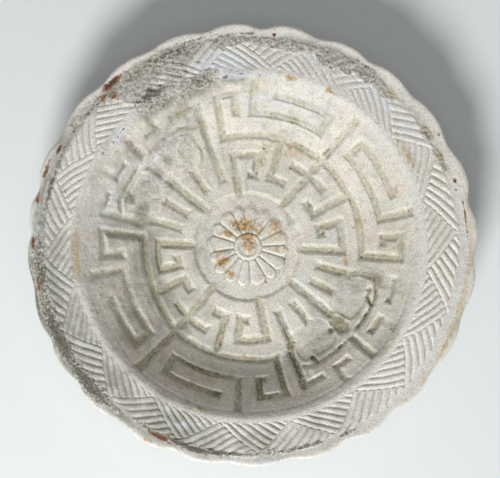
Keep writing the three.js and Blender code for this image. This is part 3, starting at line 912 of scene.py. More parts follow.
def lattice(ix, iy, seed):
    """One fixed number from -1 to 1 for each whole-number lattice point: a hash of its two indices."""
    n = ix.astype(np.int64) * 374761393 + iy.astype(np.int64) * 668265263 + seed * 974634777
    n = n & 0xFFFFFFFF
    n = ((n ^ (n >> 13)) * 1274126177) & 0xFFFFFFFF
    n = n ^ (n >> 16)
    return n / 2147483648.0 - 1.0


def uneven(x, y, size, seed):
    """Smooth noise from -1 to 1 whose bumps are about size wide: lattice values blended by cubic steps."""
    gx, gy = np.asarray(x) / size, np.asarray(y) / size
    ix, iy = np.floor(gx), np.floor(gy)
    fx, fy = gx - ix, gy - iy
    fx, fy = fx * fx * (3 - 2 * fx), fy * fy * (3 - 2 * fy)
    low = lattice(ix, iy, seed) * (1 - fx) + lattice(ix + 1, iy, seed) * fx
    high = lattice(ix, iy + 1, seed) * (1 - fx) + lattice(ix + 1, iy + 1, seed) * fx
    return low * (1 - fy) + high * fy


def rough(x, y, size, seed):
    """Three layers of uneven, each half as wide and half as strong as the one before."""
    return sum(uneven(x, y, size / 2**k, seed + k) / 2**k for k in range(3)) / 1.75


def soft_step(t):
    """0 below 0, 1 above 1, and a cubic rise between."""
    t = np.clip(t, 0.0, 1.0)
    return t * t * (3 - 2 * t)


def window(value, start, start_width, end, end_width):
    """1 between start and end, 0 outside them, with a soft step of the given width inside each."""
    return soft_step((value - start) / start_width) * soft_step((end - value) / end_width)


def bell(gap, half):
    """1 where the gap is 0, falling to both sides: e to the power of minus the square of gap over half."""
    return np.exp(-((gap / half) ** 2))


def turn(angle):
    """Angle in degrees brought between -180 and 180."""
    return (np.asarray(angle) + 180.0) % 360.0 - 180.0


def flat_place(radius, angle):
    """x and y of a radius and an angle."""
    return radius * np.cos(angle * DEG), radius * np.sin(angle * DEG)


def smoothed_ground():
    """Tables of radius, height and length along the upper side: the corner line under a bell-shaped blur."""
    corners = np.array(GROUND_CORNERS)
    radius = np.arange(0.0, corners[-1, 0], GROUND_STEP)
    height = np.interp(radius, corners[:, 0], corners[:, 1])
    reach = np.arange(-GROUND_ROUNDING_STEPS, GROUND_ROUNDING_STEPS + 1) * GROUND_STEP
    weight = np.exp(-0.5 * (reach / GROUND_ROUNDING) ** 2)
    padded = np.pad(height, GROUND_ROUNDING_STEPS, mode="edge")
    height = np.convolve(padded, weight / weight.sum(), mode="valid")
    steps = np.hypot(np.diff(radius), np.diff(height))
    return radius, height, np.concatenate([[0.0], np.cumsum(steps)])


GROUND_RADIUS, GROUND_HEIGHT, GROUND_LENGTH = smoothed_ground()
GROUND_SLOPE = np.gradient(GROUND_HEIGHT, GROUND_RADIUS)


def ground_height(radius):
    """Height of the plain upper side at a radius."""
    return np.interp(radius, GROUND_RADIUS, GROUND_HEIGHT)


def ground_length(radius):
    """Length along the upper side from the centre to a radius."""
    return np.interp(radius, GROUND_RADIUS, GROUND_LENGTH)


def raised(radius, amount):
    """Height of the upper side raised by amount, which is measured square to the surface."""
    slope = np.interp(radius, GROUND_RADIUS, GROUND_SLOPE)
    return ground_height(radius) + amount * np.sqrt(1.0 + slope**2)


def box_gap(along, across, half_along, half_across):
    """Distance to a rectangle centred on zero, negative inside it."""
    qa = np.abs(along) - half_along
    qc = np.abs(across) - half_across
    outside = np.hypot(np.maximum(qa, 0.0), np.maximum(qc, 0.0))
    return outside + np.minimum(np.maximum(qa, qc), 0.0)


def stroke_gap(angle, radius, length, start, end, half, square):
    """Distance to one straight stroke, in the surface's own lengths about the stroke's middle.

    A square stroke is a box that runs on past its ends by nearly its half width. The other kind has round
    ends.
    """
    middle = (start[0] + end[0]) / 2
    x = turn(angle - middle) * DEG * radius
    x0, x1 = (start[0] - middle) * DEG * start[1], (end[0] - middle) * DEG * end[1]
    y0, y1 = ground_length(start[1]), ground_length(end[1])
    span = math.hypot(x1 - x0, y1 - y0)
    ux, uy = (x1 - x0) / span, (y1 - y0) / span
    dx, dy = x - (x0 + x1) / 2, length - (y0 + y1) / 2
    along, across = dx * ux + dy * uy, dy * ux - dx * uy
    if square:
        return box_gap(along, across, span / 2 + half * STROKE_END, half)
    return np.hypot(np.maximum(np.abs(along) - span / 2, 0.0), across) - half


def panel_lines():
    """Square lines and round curls of the four panels: half width, depth, corners as angle and radius."""
    square, curled = [], []
    for at in FRET_HALVES:
        square += [(at["half"], 1.0, [(at[a], TRACKS[t]) for a, t in path]) for path in FRET_PATHS]
    for half_mask in MASK_HALVES:
        lean = half_mask["axis_out"] - half_mask["eye"]
        at = {
            **half_mask,
            "axis_mid": (half_mask["axis"] + half_mask["axis_out"]) / 2,
            "eye_side": half_mask["eye"] + EYE_SIDE * half_mask["eye_turn"] * lean,
            "eye_tail": half_mask["eye"] + EYE_TAIL * half_mask["eye_turn"] * lean,
            "lash_side": half_mask["lash"] + LASH_SIDE * lean,
        }
        for group, paths in ((square, MASK_PATHS), (curled, MASK_CURLS)):
            for half, share, path in paths:
                depth = at["worn"] * at.get(share, share)
                group.append((half, depth, [(at[a], TRACKS[t]) for a, t in path]))
    return square, curled


def lines_sunk(angle, radius, paths, widen, edge, square):
    """How far each point is sunk in the nearest line, 0 to 1, with soft edges. Far lines are passed over."""
    length = ground_length(radius)
    low, high = radius.min() - LINE_REACH, radius.max() + LINE_REACH
    sunk = np.zeros(radius.shape)
    for half, share, path in paths:
        soft = np.minimum(edge, 0.95 * half)
        for start, end in zip(path, path[1:]):
            if start != end and max(start[1], end[1]) > low and min(start[1], end[1]) < high:
                gap = stroke_gap(angle, radius, length, start, end, half + widen, square)
                sunk = np.maximum(sunk, share * soft_step((soft - gap) / (2 * soft)))
    return sunk


def mark_field(angle, radius, marks):
    """Strength of a set of marks: the largest of soft ovals laid out by angle and radius."""
    field = np.zeros(np.shape(radius))
    for a, r, half_angle, half_width, strength in marks:
        reach = (turn(angle - a) / half_angle) ** 2 + ((radius - r) / half_width) ** 2
        field = np.maximum(field, strength * np.exp(-MARK_FADE * reach))
    return field


def rubbed_share(angle, parts):
    """How much is rubbed away at an angle: the sum of bells in a list of angle, half angle and amount."""
    return sum(most * bell(turn(angle - at), half) for at, half, most in parts)


def flower_rise(radius, angle, shape):
    """Height of the flower over its sunk disc.

    The petals are one low raised shape with a scalloped edge, parted by narrow creases and a little crowned.
    Inside them a ring of round section and a dome stand on a low base.
    """
    x, y = flat_place(radius, angle)
    spacing = 360.0 / shape.petal_count
    turned = (angle - shape.petal_phase / DEG) / spacing
    turned = turned + 0.09 * np.sin((3 * angle + 70) * DEG) + 0.06 * np.sin(7 * angle * DEG)
    local = (turned + 0.5) % 1.0 - 0.5
    from_crease = radius * np.sin((0.5 - np.abs(local)) * spacing * DEG)
    reach = PETAL_REACH + PETAL_SCALLOP * np.cos(local * math.pi) + 0.35 * uneven(x, y, 6.0, 73)
    vague = bell(turn(angle - VAGUE_ANGLE), VAGUE_HALF)
    body = soft_step((reach - radius) / (1.5 + 2.6 * vague) + 0.5)
    crease = bell(from_crease, CREASE_HALF) * soft_step((CREASE_END - 3.0 * vague - radius) / 1.5)
    rise = shape.petal_rise / MM
    crowned = 0.78 + 0.3 * (1 - (2 * local) ** 2)
    petal = body * rise * (crowned - 0.55 * crease * (1 - 0.45 * vague))
    petal = petal * soft_step((radius - PETAL_START) / 0.9)
    across_ring = (radius - FLOWER_RING_RADIUS) / FLOWER_RING_HALF
    ring = 1.25 * rise * np.sqrt(np.maximum(0.0, 1 - across_ring**2))
    dome = 1.3 * rise * np.sqrt(np.maximum(0.0, 1 - (radius / FLOWER_DOME_RADIUS) ** 2))
    base = 0.8 * rise * soft_step((FLOWER_BASE_RADIUS - radius) / 0.8)
    centre = np.maximum(np.maximum(ring, dome), base)
    return np.maximum(petal, centre) + 0.16 * rough(x, y, 2.6, 75) * body


def side_share(angle):
    """1 on the side where the well is drawn in, 0 elsewhere, with soft ends."""
    return window(np.asarray(angle) % 360.0, *DRAWN_SIDE)


def well_shift(radius, angle):
    """How far the well's lines are drawn inwards: most on one side, where floor and wall meet early.

    The rings of the floor also lie a little off centre, and a short stretch of its edge is pushed out.
    """
    drawn = window(radius, *DRAWN_BAND) * (1 - 0.3 * soft_step((radius - 46.0) / 8.0)) * side_share(angle)
    pushed = window(radius, *PUSHED_BAND) * bell(turn(angle - PUSHED_ANGLE), PUSHED_HALF)
    ring = window(radius, *RING_BAND) * np.cos((angle - RING_OFF_ANGLE) * DEG)
    return DRAWN_IN * drawn - PUSHED_OUT * pushed - RING_OFF * ring


def wall_lean(radius, angle):
    """Rise where the wall starts early on one side, and fall where it starts late on the next.

    The rise comes in by a soft step and fades by half a cosine wave. The fall is a bell in radius and angle.
    """
    fading = np.clip((radius - EARLY_FULL) / EARLY_FADE, 0, 1)
    early = soft_step((radius - EARLY_START) / (EARLY_FULL - EARLY_START))
    early = early * (0.5 + 0.5 * np.cos(math.pi * fading))
    late_half = np.where(radius < LATE_RADIUS, LATE_INNER_HALF, LATE_OUTER_HALF)
    late = bell(radius - LATE_RADIUS, late_half) * bell(turn(angle - LATE_ANGLE), LATE_HALF)
    return EARLY_RISE * early * side_share(angle) - LATE_FALL * late


def mask_relief(angle, bent_angle, bent_radius, x, y, shape):
    """Rise of the masks' cheeks and brows, and where the masks are, 0 to 1.

    A cheek's outline is a rounded square: the fourth root of the sum of two distances to the fourth power.
    One mask's cheeks are worn lumps, the other's are crowns in a sunk field. The brow is a low step.
    """
    lumpy = np.abs(turn(angle - MASK_AXES[0])) < LUMPY_HALF
    from_axis = np.minimum(*[np.abs(turn(bent_angle - axis)) for axis in MASK_AXES])
    length = ground_length(bent_radius)
    beside = (from_axis - np.where(lumpy, LUMPY_CHEEK_MIDDLE, CHEEK_MIDDLE)) / CHEEK_HALF
    outward = (length - ground_length(CHEEK_RADIUS)) / CHEEK_REACH
    ring = (beside**4 + outward**4) ** 0.25 + 0.06 * uneven(x, y, 4.0, 21)
    inside = soft_step((1.0 - ring) / np.where(lumpy, 0.22, 0.09) + 0.5)
    crown = soft_step((0.92 - ring) / 0.7) * (1 + 0.5 * rough(x, y, 4.0, 25))
    lumps = soft_step(uneven(x, y, 5.5, 27) / 0.3 + 0.5) + 0.6 * soft_step(uneven(x, y, 2.8, 29) / 0.3 + 0.5)
    cheek = np.where(lumpy, 0.85 * inside + 0.5 * lumps * inside, 1.05 * crown - 0.65 * inside)
    within = soft_step((MASK_HALF - from_axis) / 2.5)
    brow = within * soft_step((length - ground_length(BROW_RADIUS)) / 0.8)
    brow = np.where(lumpy, 0.6, 1.0) * brow * soft_step((BROW_END - bent_radius) / 6.0)
    return shape.cheek_rise / MM * cheek + shape.brow_rise / MM * brow, within


def well_relief(radius, angle, shape):
    """Rise of the well's relief square to the surface, and how far each point is sunk in a line, 0 to 1.

    The sunk lines and the centre disc share one soft-edged depth. The masks swell above the ground, the wall
    leans more on one side, and a fine groove runs below the arris. Hand-made drift bends the lines a little
    before distances are taken.
    """
    x, y = flat_place(radius, angle)
    drift = shape.hand_drift / MM
    bent_radius = radius + drift * uneven(x, y, 8.0, 3) + well_shift(radius, angle)
    bent_angle = angle + drift * uneven(x, y, 9.0, 5) / np.maximum(radius, 8.0) / DEG
    widen = shape.line_widen / MM + 0.13 * uneven(x, y, 5.0, 9) + 0.16 * uneven(x, y, 1.6, 11)
    rubbed = rubbed_share(angle, RUBBED) * soft_step((radius - RUBBED_FROM) / 8.0)
    edge = shape.line_edge / MM * (1 + 0.9 * rubbed)
    square, curled = panel_lines()
    sunk = lines_sunk(bent_angle, bent_radius, square, widen, edge, True)
    sunk = np.maximum(sunk, lines_sunk(bent_angle, bent_radius, curled, widen, edge, False))
    depth = shape.line_depth / MM * (1.0 + 0.16 * uneven(x, y, 17.0, 13)) * (1 - 0.4 * rubbed)
    disc = soft_step((edge - (bent_radius - MEDALLION_RADIUS)) / (2 * edge))
    masks, within = mask_relief(angle, bent_angle, bent_radius, x, y, shape)
    rise = masks * np.clip(1 - sunk, 0, 1) - depth * np.maximum(sunk, disc) + wall_lean(radius, angle)
    worn = (0.12 + 0.16 * rubbed) * within * soft_step((radius - RUBBED_FROM) / 3.0)
    rise = rise + worn * rough(x, y, 3.4, 23)
    rise = rise - GROOVE_DEPTH * bell(bent_radius - GROOVE_RADIUS, GROOVE_HALF) * soft_step((x + 75) / 40)
    rise = rise + 0.12 * rough(x, y, 9.0, 31) + 0.08 * rough(x, y, 1.7, 37)
    return rise + 0.1 * sunk * rough(x, y, 1.3, 39), sunk


def hatch_rise(radius, angle, shape):
    """Rise of the flange's hatching, with furrows below zero, and where a furrow is, 0 to 1.

    The flange repeats a pair of triangles. Across one repeat p runs 0 to 1 and outwards v runs 0 to 1. The
    triangle that stands on the inner edge is furrowed along its first side, the hanging one along its own.
    Ridges are broad, furrows narrow, the outer ends ragged, and some parts are rubbed low.
    """
    x, y = flat_place(radius, angle)
    slip = HATCH_SLIP * np.cos((angle - HATCH_SLIP_ANGLE) * DEG) + 0.35 * uneven(x, y, 9.0, 41)
    pitch = 360.0 / shape.hatch_repeats
    p = ((angle - slip - HATCH_START) / pitch) % 1.0
    outwards = radius + 0.25 * uneven(x, y, 8.0, 43) - HATCH_INNER_RADIUS
    v = outwards / (FLANGE_RADIUS - HATCH_INNER_RADIUS)
    standing = np.where(p < HATCH_APEX, v < p / HATCH_APEX, v < (1 - p) / (1 - HATCH_APEX))
    hanging_p = np.where(p >= HATCH_APEX, p, p + 1.0)
    hanging_shift = hanging_p - HATCH_APEX - (1 - v) * (1 - HATCH_APEX)
    shift = np.where(standing, p - v * HATCH_APEX, hanging_shift)
    lines = np.where(standing, shape.standing_lines, shape.hanging_lines)
    phase = (shift * lines + 0.06 * uneven(x, y, 5.0, 47)) % 1.0
    furrow = (0.5 + 0.5 * np.cos(2 * math.pi * phase)) ** 2.2
    ragged = 1.05 + 0.09 * uneven(x, y, 2.6, 45)
    fade = window(v, -0.02, 0.07, ragged, 0.09)
    kept = 1 - rubbed_share(angle, HATCH_RUBBED) + 0.28 * uneven(x, y, 9.0, 49)
    depth = shape.hatch_depth / MM * kept
    rise = fade * (0.3 * kept - depth * furrow)
    return rise, 0.34 * kept * fade * furrow**1.5


def lobe_push(angle, shape):
    """How far the lip stands out at an angle, and where in its lobe that is, from -1 to 1.

    Lobes of uneven strength are cosine waves between the lobe angles, on a rim a little out of round.
    """
    turns = np.array([LOBE_ANGLES[-1] - 360.0] + LOBE_ANGLES + [LOBE_ANGLES[0] + 360.0])
    phase = np.interp(np.asarray(angle) % 360.0, turns, np.arange(len(turns)))
    swing = shape.lobe_swing / MM * (1 + 0.28 * np.sin((5 * angle + 30) * DEG))
    lobe = np.cos(phase * 2 * math.pi)
    oval = RIM_OVAL * np.cos(2 * (angle - RIM_OVAL_ANGLE) * DEG)
    oval = oval + RIM_THREE * np.cos(3 * (angle - RIM_THREE_ANGLE) * DEG)
    return swing * (lobe - 0.18 * np.cos(phase * 4 * math.pi)) + oval, lobe


def off_centre(radius, angle):
    """Radius on a rim that lies about a millimetre off centre: nothing at the arris and most at the lip."""
    share = soft_step((radius - ARRIS_RADIUS) / (LIP_RADIUS - ARRIS_RADIUS) * 0.6)
    return radius + RIM_SHIFT * share * np.cos((angle - RIM_SHIFT_ANGLE) * DEG)


def rim_warp(x, y, z):
    """Slow unevenness of the height of the whole dish, nothing at the foot and most at the rim."""
    return RIM_WARP * uneven(x, y, 48.0, 61) * soft_step((z - 8.0) / 22.0)


def bends(rise, length, column_step):
    """Second differences of a rise over its grid: above zero in creases, below zero on edges."""
    along = np.gradient(np.gradient(rise, length, axis=0), length, axis=0)
    padded = np.concatenate([rise[:, -1:], rise, rise[:, :1]], axis=1)
    across = (padded[:, 2:] - 2 * rise + padded[:, :-2]) / column_step**2
    return along + across


def crust_cover(x, y, angle, radius):
    """Cover of gritty crust from 0 to 1: the crust marks broken up by noise."""
    field = mark_field(angle, radius, CRUST_MARKS)
    return soft_step((field - 0.46 + 0.4 * rough(x, y, 6.0, 51) + 0.16 * uneven(x, y, 1.6, 55)) / 0.3)


def crusted(rise, cover, angle, radius):
    """Rise with its crust: filled a little under it, then a thin layer with grains standing on it."""
    x, y = flat_place(radius, angle)
    grains = 0.5 + 0.5 * rough(x, y, 1.5, 57)
    return rise * (1 - 0.3 * cover) + cover * (0.1 + 0.8 * grains * grains)


def mark_layers(angle, radius, rise, sunk, length):
    """Layers of a decorated band: rim, sunk lines, soil, creases, worn edges, crust and the marks.

    Soil and creases partly paint shade in the lines; worn edges partly paint highlight.
    """
    x, y = flat_place(radius, angle)
    bend = bends(rise, length, radius * DEG * 360 / radius.shape[1])
    held = 1 - mark_field(angle, radius, CLEAN_MARKS)
    crease = np.clip(bend / 1.5, 0, 1)
    rubbed = np.clip(-bend / 1.8, 0, 1) * np.clip(1 - mark_field(angle, radius, DULL_MARKS), 0, 1)
    layers = {key: mark_field(angle, radius, marks) for key, marks in MARKS.items()}
    layers["crust"] = crust_cover(x, y, angle, radius)
    layers["rim"] = soft_step((ground_height(radius) - 29.0) / 3.5)
    layers["sunk"] = sunk * (0.7 + 0.3 * held)
    # Soil in the lines, with painted shade where the soil marks darken lines and pits
    layers["soil"] = np.clip(0.6 * sunk + 0.7 * crease, 0, 1) * mark_field(angle, radius, SOIL_AND_SHADE_MARKS)
    # Concave creases at the foot of each line's walls get dark soil: partly soil, partly painted shade
    layers["crease"] = held * crease
    # Worn edges: convex bends rubbed lighter, and marks that partly paint highlight
    layers["worn"] = rubbed + mark_field(angle, radius, WORN_AND_HIGHLIGHT_MARKS)
    return layers


def round_angles(columns):
    """Evenly spaced angles of a full turn, in degrees."""
    return np.arange(columns) * 360.0 / columns


def relief_band(inner, outer, rows, angle, shape, kind):
    """Rows of a decorated band between two radii, spaced evenly along the surface.

    One more row lies close to each end, so that the shading runs on smoothly into the next piece.
    """
    first, last = ground_length(np.array([inner, outer]))
    even = np.linspace(first, last, rows)
    length = np.concatenate([even[:1], [first + SEAM_ROW], even[1:-1], [last - SEAM_ROW], even[-1:]])
    radius = np.interp(length, GROUND_LENGTH, GROUND_RADIUS)[:, None] + np.zeros((1, len(angle)))
    spread = angle[None, :] + np.zeros(radius.shape)
    if kind == "hatch":
        rise, sunk = hatch_rise(radius, spread, shape)
    else:
        rise, sunk = well_relief(radius, spread, shape)
    if kind == "flower":
        rise = rise + flower_rise(radius, spread, shape)
    layers = mark_layers(spread, radius, rise, sunk, length)
    rise = crusted(rise, layers["crust"], spread, radius)
    if kind == "hatch":
        x, y = flat_place(radius, spread)
        rise = rise + 0.05 * rough(x, y, 7.0, 81) + 0.025 * rough(x, y, 1.5, 83)
    return radius, raised(radius, rise), layers


def plain_band(corners, columns, steps):
    """Rows along straight runs between corners of radius and height, each in steps. The last is left off."""
    corners = np.array(corners, float)
    t = np.arange(0, len(corners) - 1, 1.0 / steps)
    spots = np.arange(len(corners))
    radius = np.interp(t, spots, corners[:, 0])[:, None]
    height = np.interp(t, spots, corners[:, 1])[:, None]
    return radius + np.zeros((1, columns)), height + np.zeros((1, columns)), {}


def ring_at(radius, height, columns):
    """A level ring, as its radius and height by column."""
    return np.full(columns, radius), np.full(columns, height)


def edge_of(band, row):
    """One row of a band as a ring."""
    return band[0][row], band[1][row]


def as_band(ring):
    """A ring as a band of one row."""
    return ring[0][None, :], ring[1][None, :], {}


def side_rows(upper, lower, steps):
    """Rows on the straight side between two rings, without either ring."""
    t = (np.arange(1, steps) / steps)[:, None]
    return tuple(u[None, :] * (1 - t) + w[None, :] * t for u, w in zip(upper, lower)) + ({},)


def stack_rows(*bands):
    """Joins bands of rows into one, with all layers. A layer that a band lacks is zero on it."""
    radius = np.concatenate([band[0] for band in bands])
    height = np.concatenate([band[1] for band in bands])
    layers = {
        key: np.concatenate([band[2].get(key, np.zeros(band[0].shape)) for band in bands]) for key in LAYERS
    }
    return radius, height, layers


def lip_line(rows):
    """Radius and height of rows along the lip's section, and their length along it.

    The rows are evenly spaced, and a running mean of five rounds the section's corners.
    """
    section = np.array(LIP_SECTION)
    run = np.concatenate([[0], np.cumsum(np.hypot(*np.diff(section, axis=0).T))])
    length = np.linspace(0, run[-1], rows)
    weight = np.array([1, 2, 3, 2, 1]) / 9.0
    lines = []
    for values in section.T:
        line = np.interp(length, run, values)
        line[2:-2] = np.convolve(line, weight, mode="valid")
        lines.append(line[:, None])
    return lines[0], lines[1], length


def grid_faces(rows, columns, closed, top_pole, under_pole):
    """Corner indices of a grid that closes around, with three corners to a face at the poles."""
    i = np.arange(rows if closed else rows - 1)[:, None]
    j = np.arange(columns)[None, :]
    after = (j + 1) % columns
    row, below = i * columns, (i + 1) % rows * columns
    quads = np.stack([row + j, below + j, below + after, row + after], -1).reshape(-1, 4)
    j, after = j.ravel(), after.ravel()
    fans = []
    if top_pole is not None:
        fans.append(np.stack([np.full(columns, top_pole), j, after], -1))
    if under_pole is not None:
        last = (rows - 1) * columns
        fans.append(np.stack([np.full(columns, under_pole), last + after, last + j], -1))
    return quads, (np.concatenate(fans) if fans else np.zeros((0, 3), int))


def make_piece(context, name, angle, band, bare_rows, creases, poles=None):
    """Puts a band of rows into a mesh object, in metres, with angle by column.

    The band's layers are named numbers on the points. Rows in bare_rows take the second finish. Rings in
    creases keep a sharp edge. A piece that reaches the axis closes in two points, at the heights in poles.
    """
    radius, height, layers = band
    rows, columns = radius.shape
    x, y = flat_place(off_centre(radius, angle), angle)
    z = height + rim_warp(x, y, height)
    points = np.stack([x, y, z], -1).reshape(-1, 3)
    top = under = None
    if poles:
        top, under = len(points), len(points) + 1
        points = np.concatenate([points, [[0, 0, poles[0]], [0, 0, poles[1]]]])
    quads, fans = grid_faces(rows, columns, poles is None, top, under)
    corners = np.concatenate([quads.ravel(), fans.ravel()]).astype(np.int32)
    starts = np.concatenate([np.arange(len(quads)) * 4, len(quads) * 4 + np.arange(len(fans)) * 3])
    mesh = bpy.data.meshes.new(name)
    mesh.vertices.add(len(points))
    mesh.vertices.foreach_set("co", (points * MM).astype(np.float32).ravel())
    mesh.loops.add(len(corners))
    mesh.loops.foreach_set("vertex_index", corners)
    mesh.polygons.add(len(starts))
    mesh.polygons.foreach_set("loop_start", starts.astype(np.int32))
    face_row = np.concatenate([quads[:, 0] // columns, np.full(len(fans), -1)])
    bare = np.isin(face_row, list(bare_rows))
    if poles:
        bare[len(quads) + columns :] = bool(bare_rows)
    mesh.polygons.foreach_set("material_index", bare.astype(np.int32))
    mesh.update(calc_edges=True)
    mesh.polygons.foreach_set("use_smooth", np.ones(len(starts), bool))
    ends = np.empty(len(mesh.edges) * 2, np.int32)
    mesh.edges.foreach_get("vertices", ends)
    ends = ends.reshape(-1, 2) // columns
    sharp = (ends[:, 0] == ends[:, 1]) & np.isin(ends[:, 0], list(creases))
    mesh.attributes.new("sharp_edge", "BOOLEAN", "EDGE").data.foreach_set("value", sharp)
    for key, values in layers.items():
        full = np.zeros(len(points), np.float32)
        full[: rows * columns] = values.ravel()
        mesh.attributes.new(key, "FLOAT", "POINT").data.foreach_set("value", full)
    for finish in dish_finishes(context):
        mesh.materials.append(finish)
    if mesh.validate():
        raise RuntimeError(f"{name} has faces that don't close")
    piece = bpy.data.objects.new(name, mesh)
    context.scene.collection.objects.link(piece)
    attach(piece, "root")
    return piece


def make_relief_ring(context, name, kind, underside, under_steps):
    """Ring-shaped piece: a decorated top, two upright sides, and an underside that gives its edges."""
    columns, rows = GRIDS[name]
    angle = round_angles(columns)
    outer_corner, inner_corner = underside[0], underside[-1]
    top = relief_band(inner_corner[0], outer_corner[0], rows, angle, context.scene.dish_shape, kind)
    outer = side_rows(edge_of(top, -1), ring_at(*outer_corner, columns), 2)
    under = plain_band(underside, columns, under_steps)
    inner_edge = ring_at(*inner_corner, columns)
    inner = side_rows(inner_edge, edge_of(top, 0), 2)
    last = len(top[0]) - 1
    under_first = last + len(outer[0]) + 1
    creases = (0, last, under_first, under_first + len(under[0]))
    band = stack_rows(top, outer, under, as_band(inner_edge), inner)
    return make_piece(context, name, angle, band, (), creases)


def add_node(tree, kind, sockets=None, output=0, **settings):
    """Adds one node with its settings, sets or links the inputs in sockets and gives back one output."""
    node = tree.nodes.new(kind)
    for key, value in settings.items():
        setattr(node, key, value)
    for key, value in (sockets or {}).items():
        if isinstance(value, bpy.types.NodeSocket):
            tree.links.new(value, node.inputs[key])
        else:
            node.inputs[key].default_value = value
    return node.outputs[output] if node.outputs else None


def start_material(name):
    """Material of that name with an empty tree, and its tree."""
    material = bpy.data.materials.new(name)
    material.use_nodes = True
    material.node_tree.nodes.clear()
    return material, material.node_tree


def laid_over(tree, under, over, value, low, high, most):
    """Colour of one coat over another: its share rises softly to most as the value goes from low to high."""
    limits = {"Value": value, "From Min": low, "From Max": high, "To Max": most}
    share = add_node(tree, "ShaderNodeMapRange", limits, interpolation_type="SMOOTHSTEP")
    coats = {MIX_SHARE: share, MIX_UNDER: under, MIX_OVER: over}
    return add_node(tree, "ShaderNodeMix", coats, MIX_RESULT, data_type="RGBA")


def worn_ivory_glaze(finish):
    """Thin ivory glaze on pale stoneware, long buried.

    It looks matt and mottled, with soil in the lines and crust at the rim. Some coats also paint shade into
    lines, creases and parts of the wall, arris and lip, and paint highlights on the arris and the lip's
    crest. A coat's share is its point layer plus noise, so that its edge breaks up into patches. Grit of 0.3
    mm is drawn at 0.6 mm so that it shows.
    """
    material, tree = start_material("worn_ivory_glaze")
    place = add_node(tree, "ShaderNodeTexCoord", output="Object")
    colour = finish.glaze_pale
    for size, low, high, most, tint in MOTTLES:
        patch = {"Vector": place, "Scale": 1 / (size * MM), "Detail": 3.0}
        noise = add_node(tree, "ShaderNodeTexNoise", patch)
        colour = laid_over(tree, colour, getattr(finish, tint), noise, low, high, most)
    for name, size, reach, low, high, most, tint in COATS:
        layer = add_node(tree, "ShaderNodeAttribute", output="Fac", attribute_name=name)
        patch = {"Vector": place, "Scale": 1 / (size * MM), "Detail": 4.0}
        noise = add_node(tree, "ShaderNodeTexNoise", patch)
        value = add_node(tree, "ShaderNodeMath", {0: noise, 1: reach, 2: layer}, operation="MULTIPLY_ADD")
        low, high = low + reach / 2, high + reach / 2
        colour = laid_over(tree, colour, getattr(finish, tint), value, low, high, most)

    grains = {"Vector": place, "Scale": 1 / (GLAZE_GRIT * MM), "Detail": 2.0, "Roughness": 0.6}
    grit = add_node(tree, "ShaderNodeTexNoise", grains)
    limits = {"Value": grit, "From Min": 0.3, "From Max": 0.7, "To Min": 0.69, "To Max": 1.10}
    shade = add_node(tree, "ShaderNodeMapRange", limits)
    coats = {MIX_SHARE: 1.0, MIX_UNDER: colour, MIX_OVER: shade}
    colour = add_node(tree, "ShaderNodeMix", coats, MIX_RESULT, data_type="RGBA", blend_type="MULTIPLY")

    crust = add_node(tree, "ShaderNodeAttribute", output="Fac", attribute_name="crust")
    patch = {"Vector": place, "Scale": 1 / (GLAZE_PATCHES * MM), "Detail": 3.0}
    patches = add_node(tree, "ShaderNodeTexNoise", patch)
    dull = add_node(tree, "ShaderNodeMath", {0: patches, 1: crust}, operation="ADD")
    limits = {"Value": dull, "From Min": 0.3, "From Max": 1.2, "To Min": 0.5, "To Max": 0.9}
    roughness = add_node(tree, "ShaderNodeMapRange", limits)
    pits = add_node(tree, "ShaderNodeMath", {0: grit, 1: 0.55, 2: patches}, operation="MULTIPLY_ADD")
    bump = add_node(tree, "ShaderNodeBump", {"Height": pits, "Strength": 0.5, "Distance": BUMP_DEPTH * MM})
    look = {"Base Color": colour, "Roughness": roughness, "Normal": bump, "IOR": 1.5}
    shader = add_node(tree, "ShaderNodeBsdfPrincipled", look)
    add_node(tree, "ShaderNodeOutputMaterial", {"Surface": shader})
    return material


def bare_fired_clay(finish):
    """Unglazed stoneware of the foot: dry and buff, with faint broad turning rings and iron specks."""
    material, tree = start_material("bare_fired_clay")
    place = add_node(tree, "ShaderNodeTexCoord", output="Object")
    patch = {"Vector": place, "Scale": 1 / (CLAY_PATCHES * MM), "Detail": 4.0}
    wide = add_node(tree, "ShaderNodeTexNoise", patch)
    grains = {"Vector": place, "Scale": 1 / (CLAY_GRIT * MM), "Detail": 2.0}
    grit = add_node(tree, "ShaderNodeTexNoise", grains)
    coats = {MIX_SHARE: wide, MIX_UNDER: finish.clay, MIX_OVER: finish.clay_dark}
    tone = add_node(tree, "ShaderNodeMix", coats, MIX_RESULT, data_type="RGBA")
    limits = {"Value": grit, "From Min": 0.64, "From Max": 0.7, "To Max": 0.7}
    dots = add_node(tree, "ShaderNodeMapRange", limits)
    coats = {MIX_SHARE: dots, MIX_UNDER: tone, MIX_OVER: finish.speck}
    tone = add_node(tree, "ShaderNodeMix", coats, MIX_RESULT, data_type="RGBA")
    scale = 2 * math.pi / (WAVE_TURN * CLAY_RINGS * MM)
    waves = {"Vector": place, "Scale": scale, "Distortion": 1.2, "Detail": 2.0, "Detail Scale": 3.0}
    rings = add_node(tree, "ShaderNodeTexWave", waves, "Fac", wave_type="RINGS", rings_direction="Z")
    height = add_node(tree, "ShaderNodeMath", {0: rings, 1: grit}, operation="ADD")
    bump = add_node(tree, "ShaderNodeBump", {"Height": height, "Strength": 0.3, "Distance": BUMP_DEPTH * MM})
    look = {"Base Color": tone, "Roughness": 0.88, "Normal": bump, "IOR": 1.5}
    shader = add_node(tree, "ShaderNodeBsdfPrincipled", look)
    add_node(tree, "ShaderNodeOutputMaterial", {"Surface": shader})
    return material


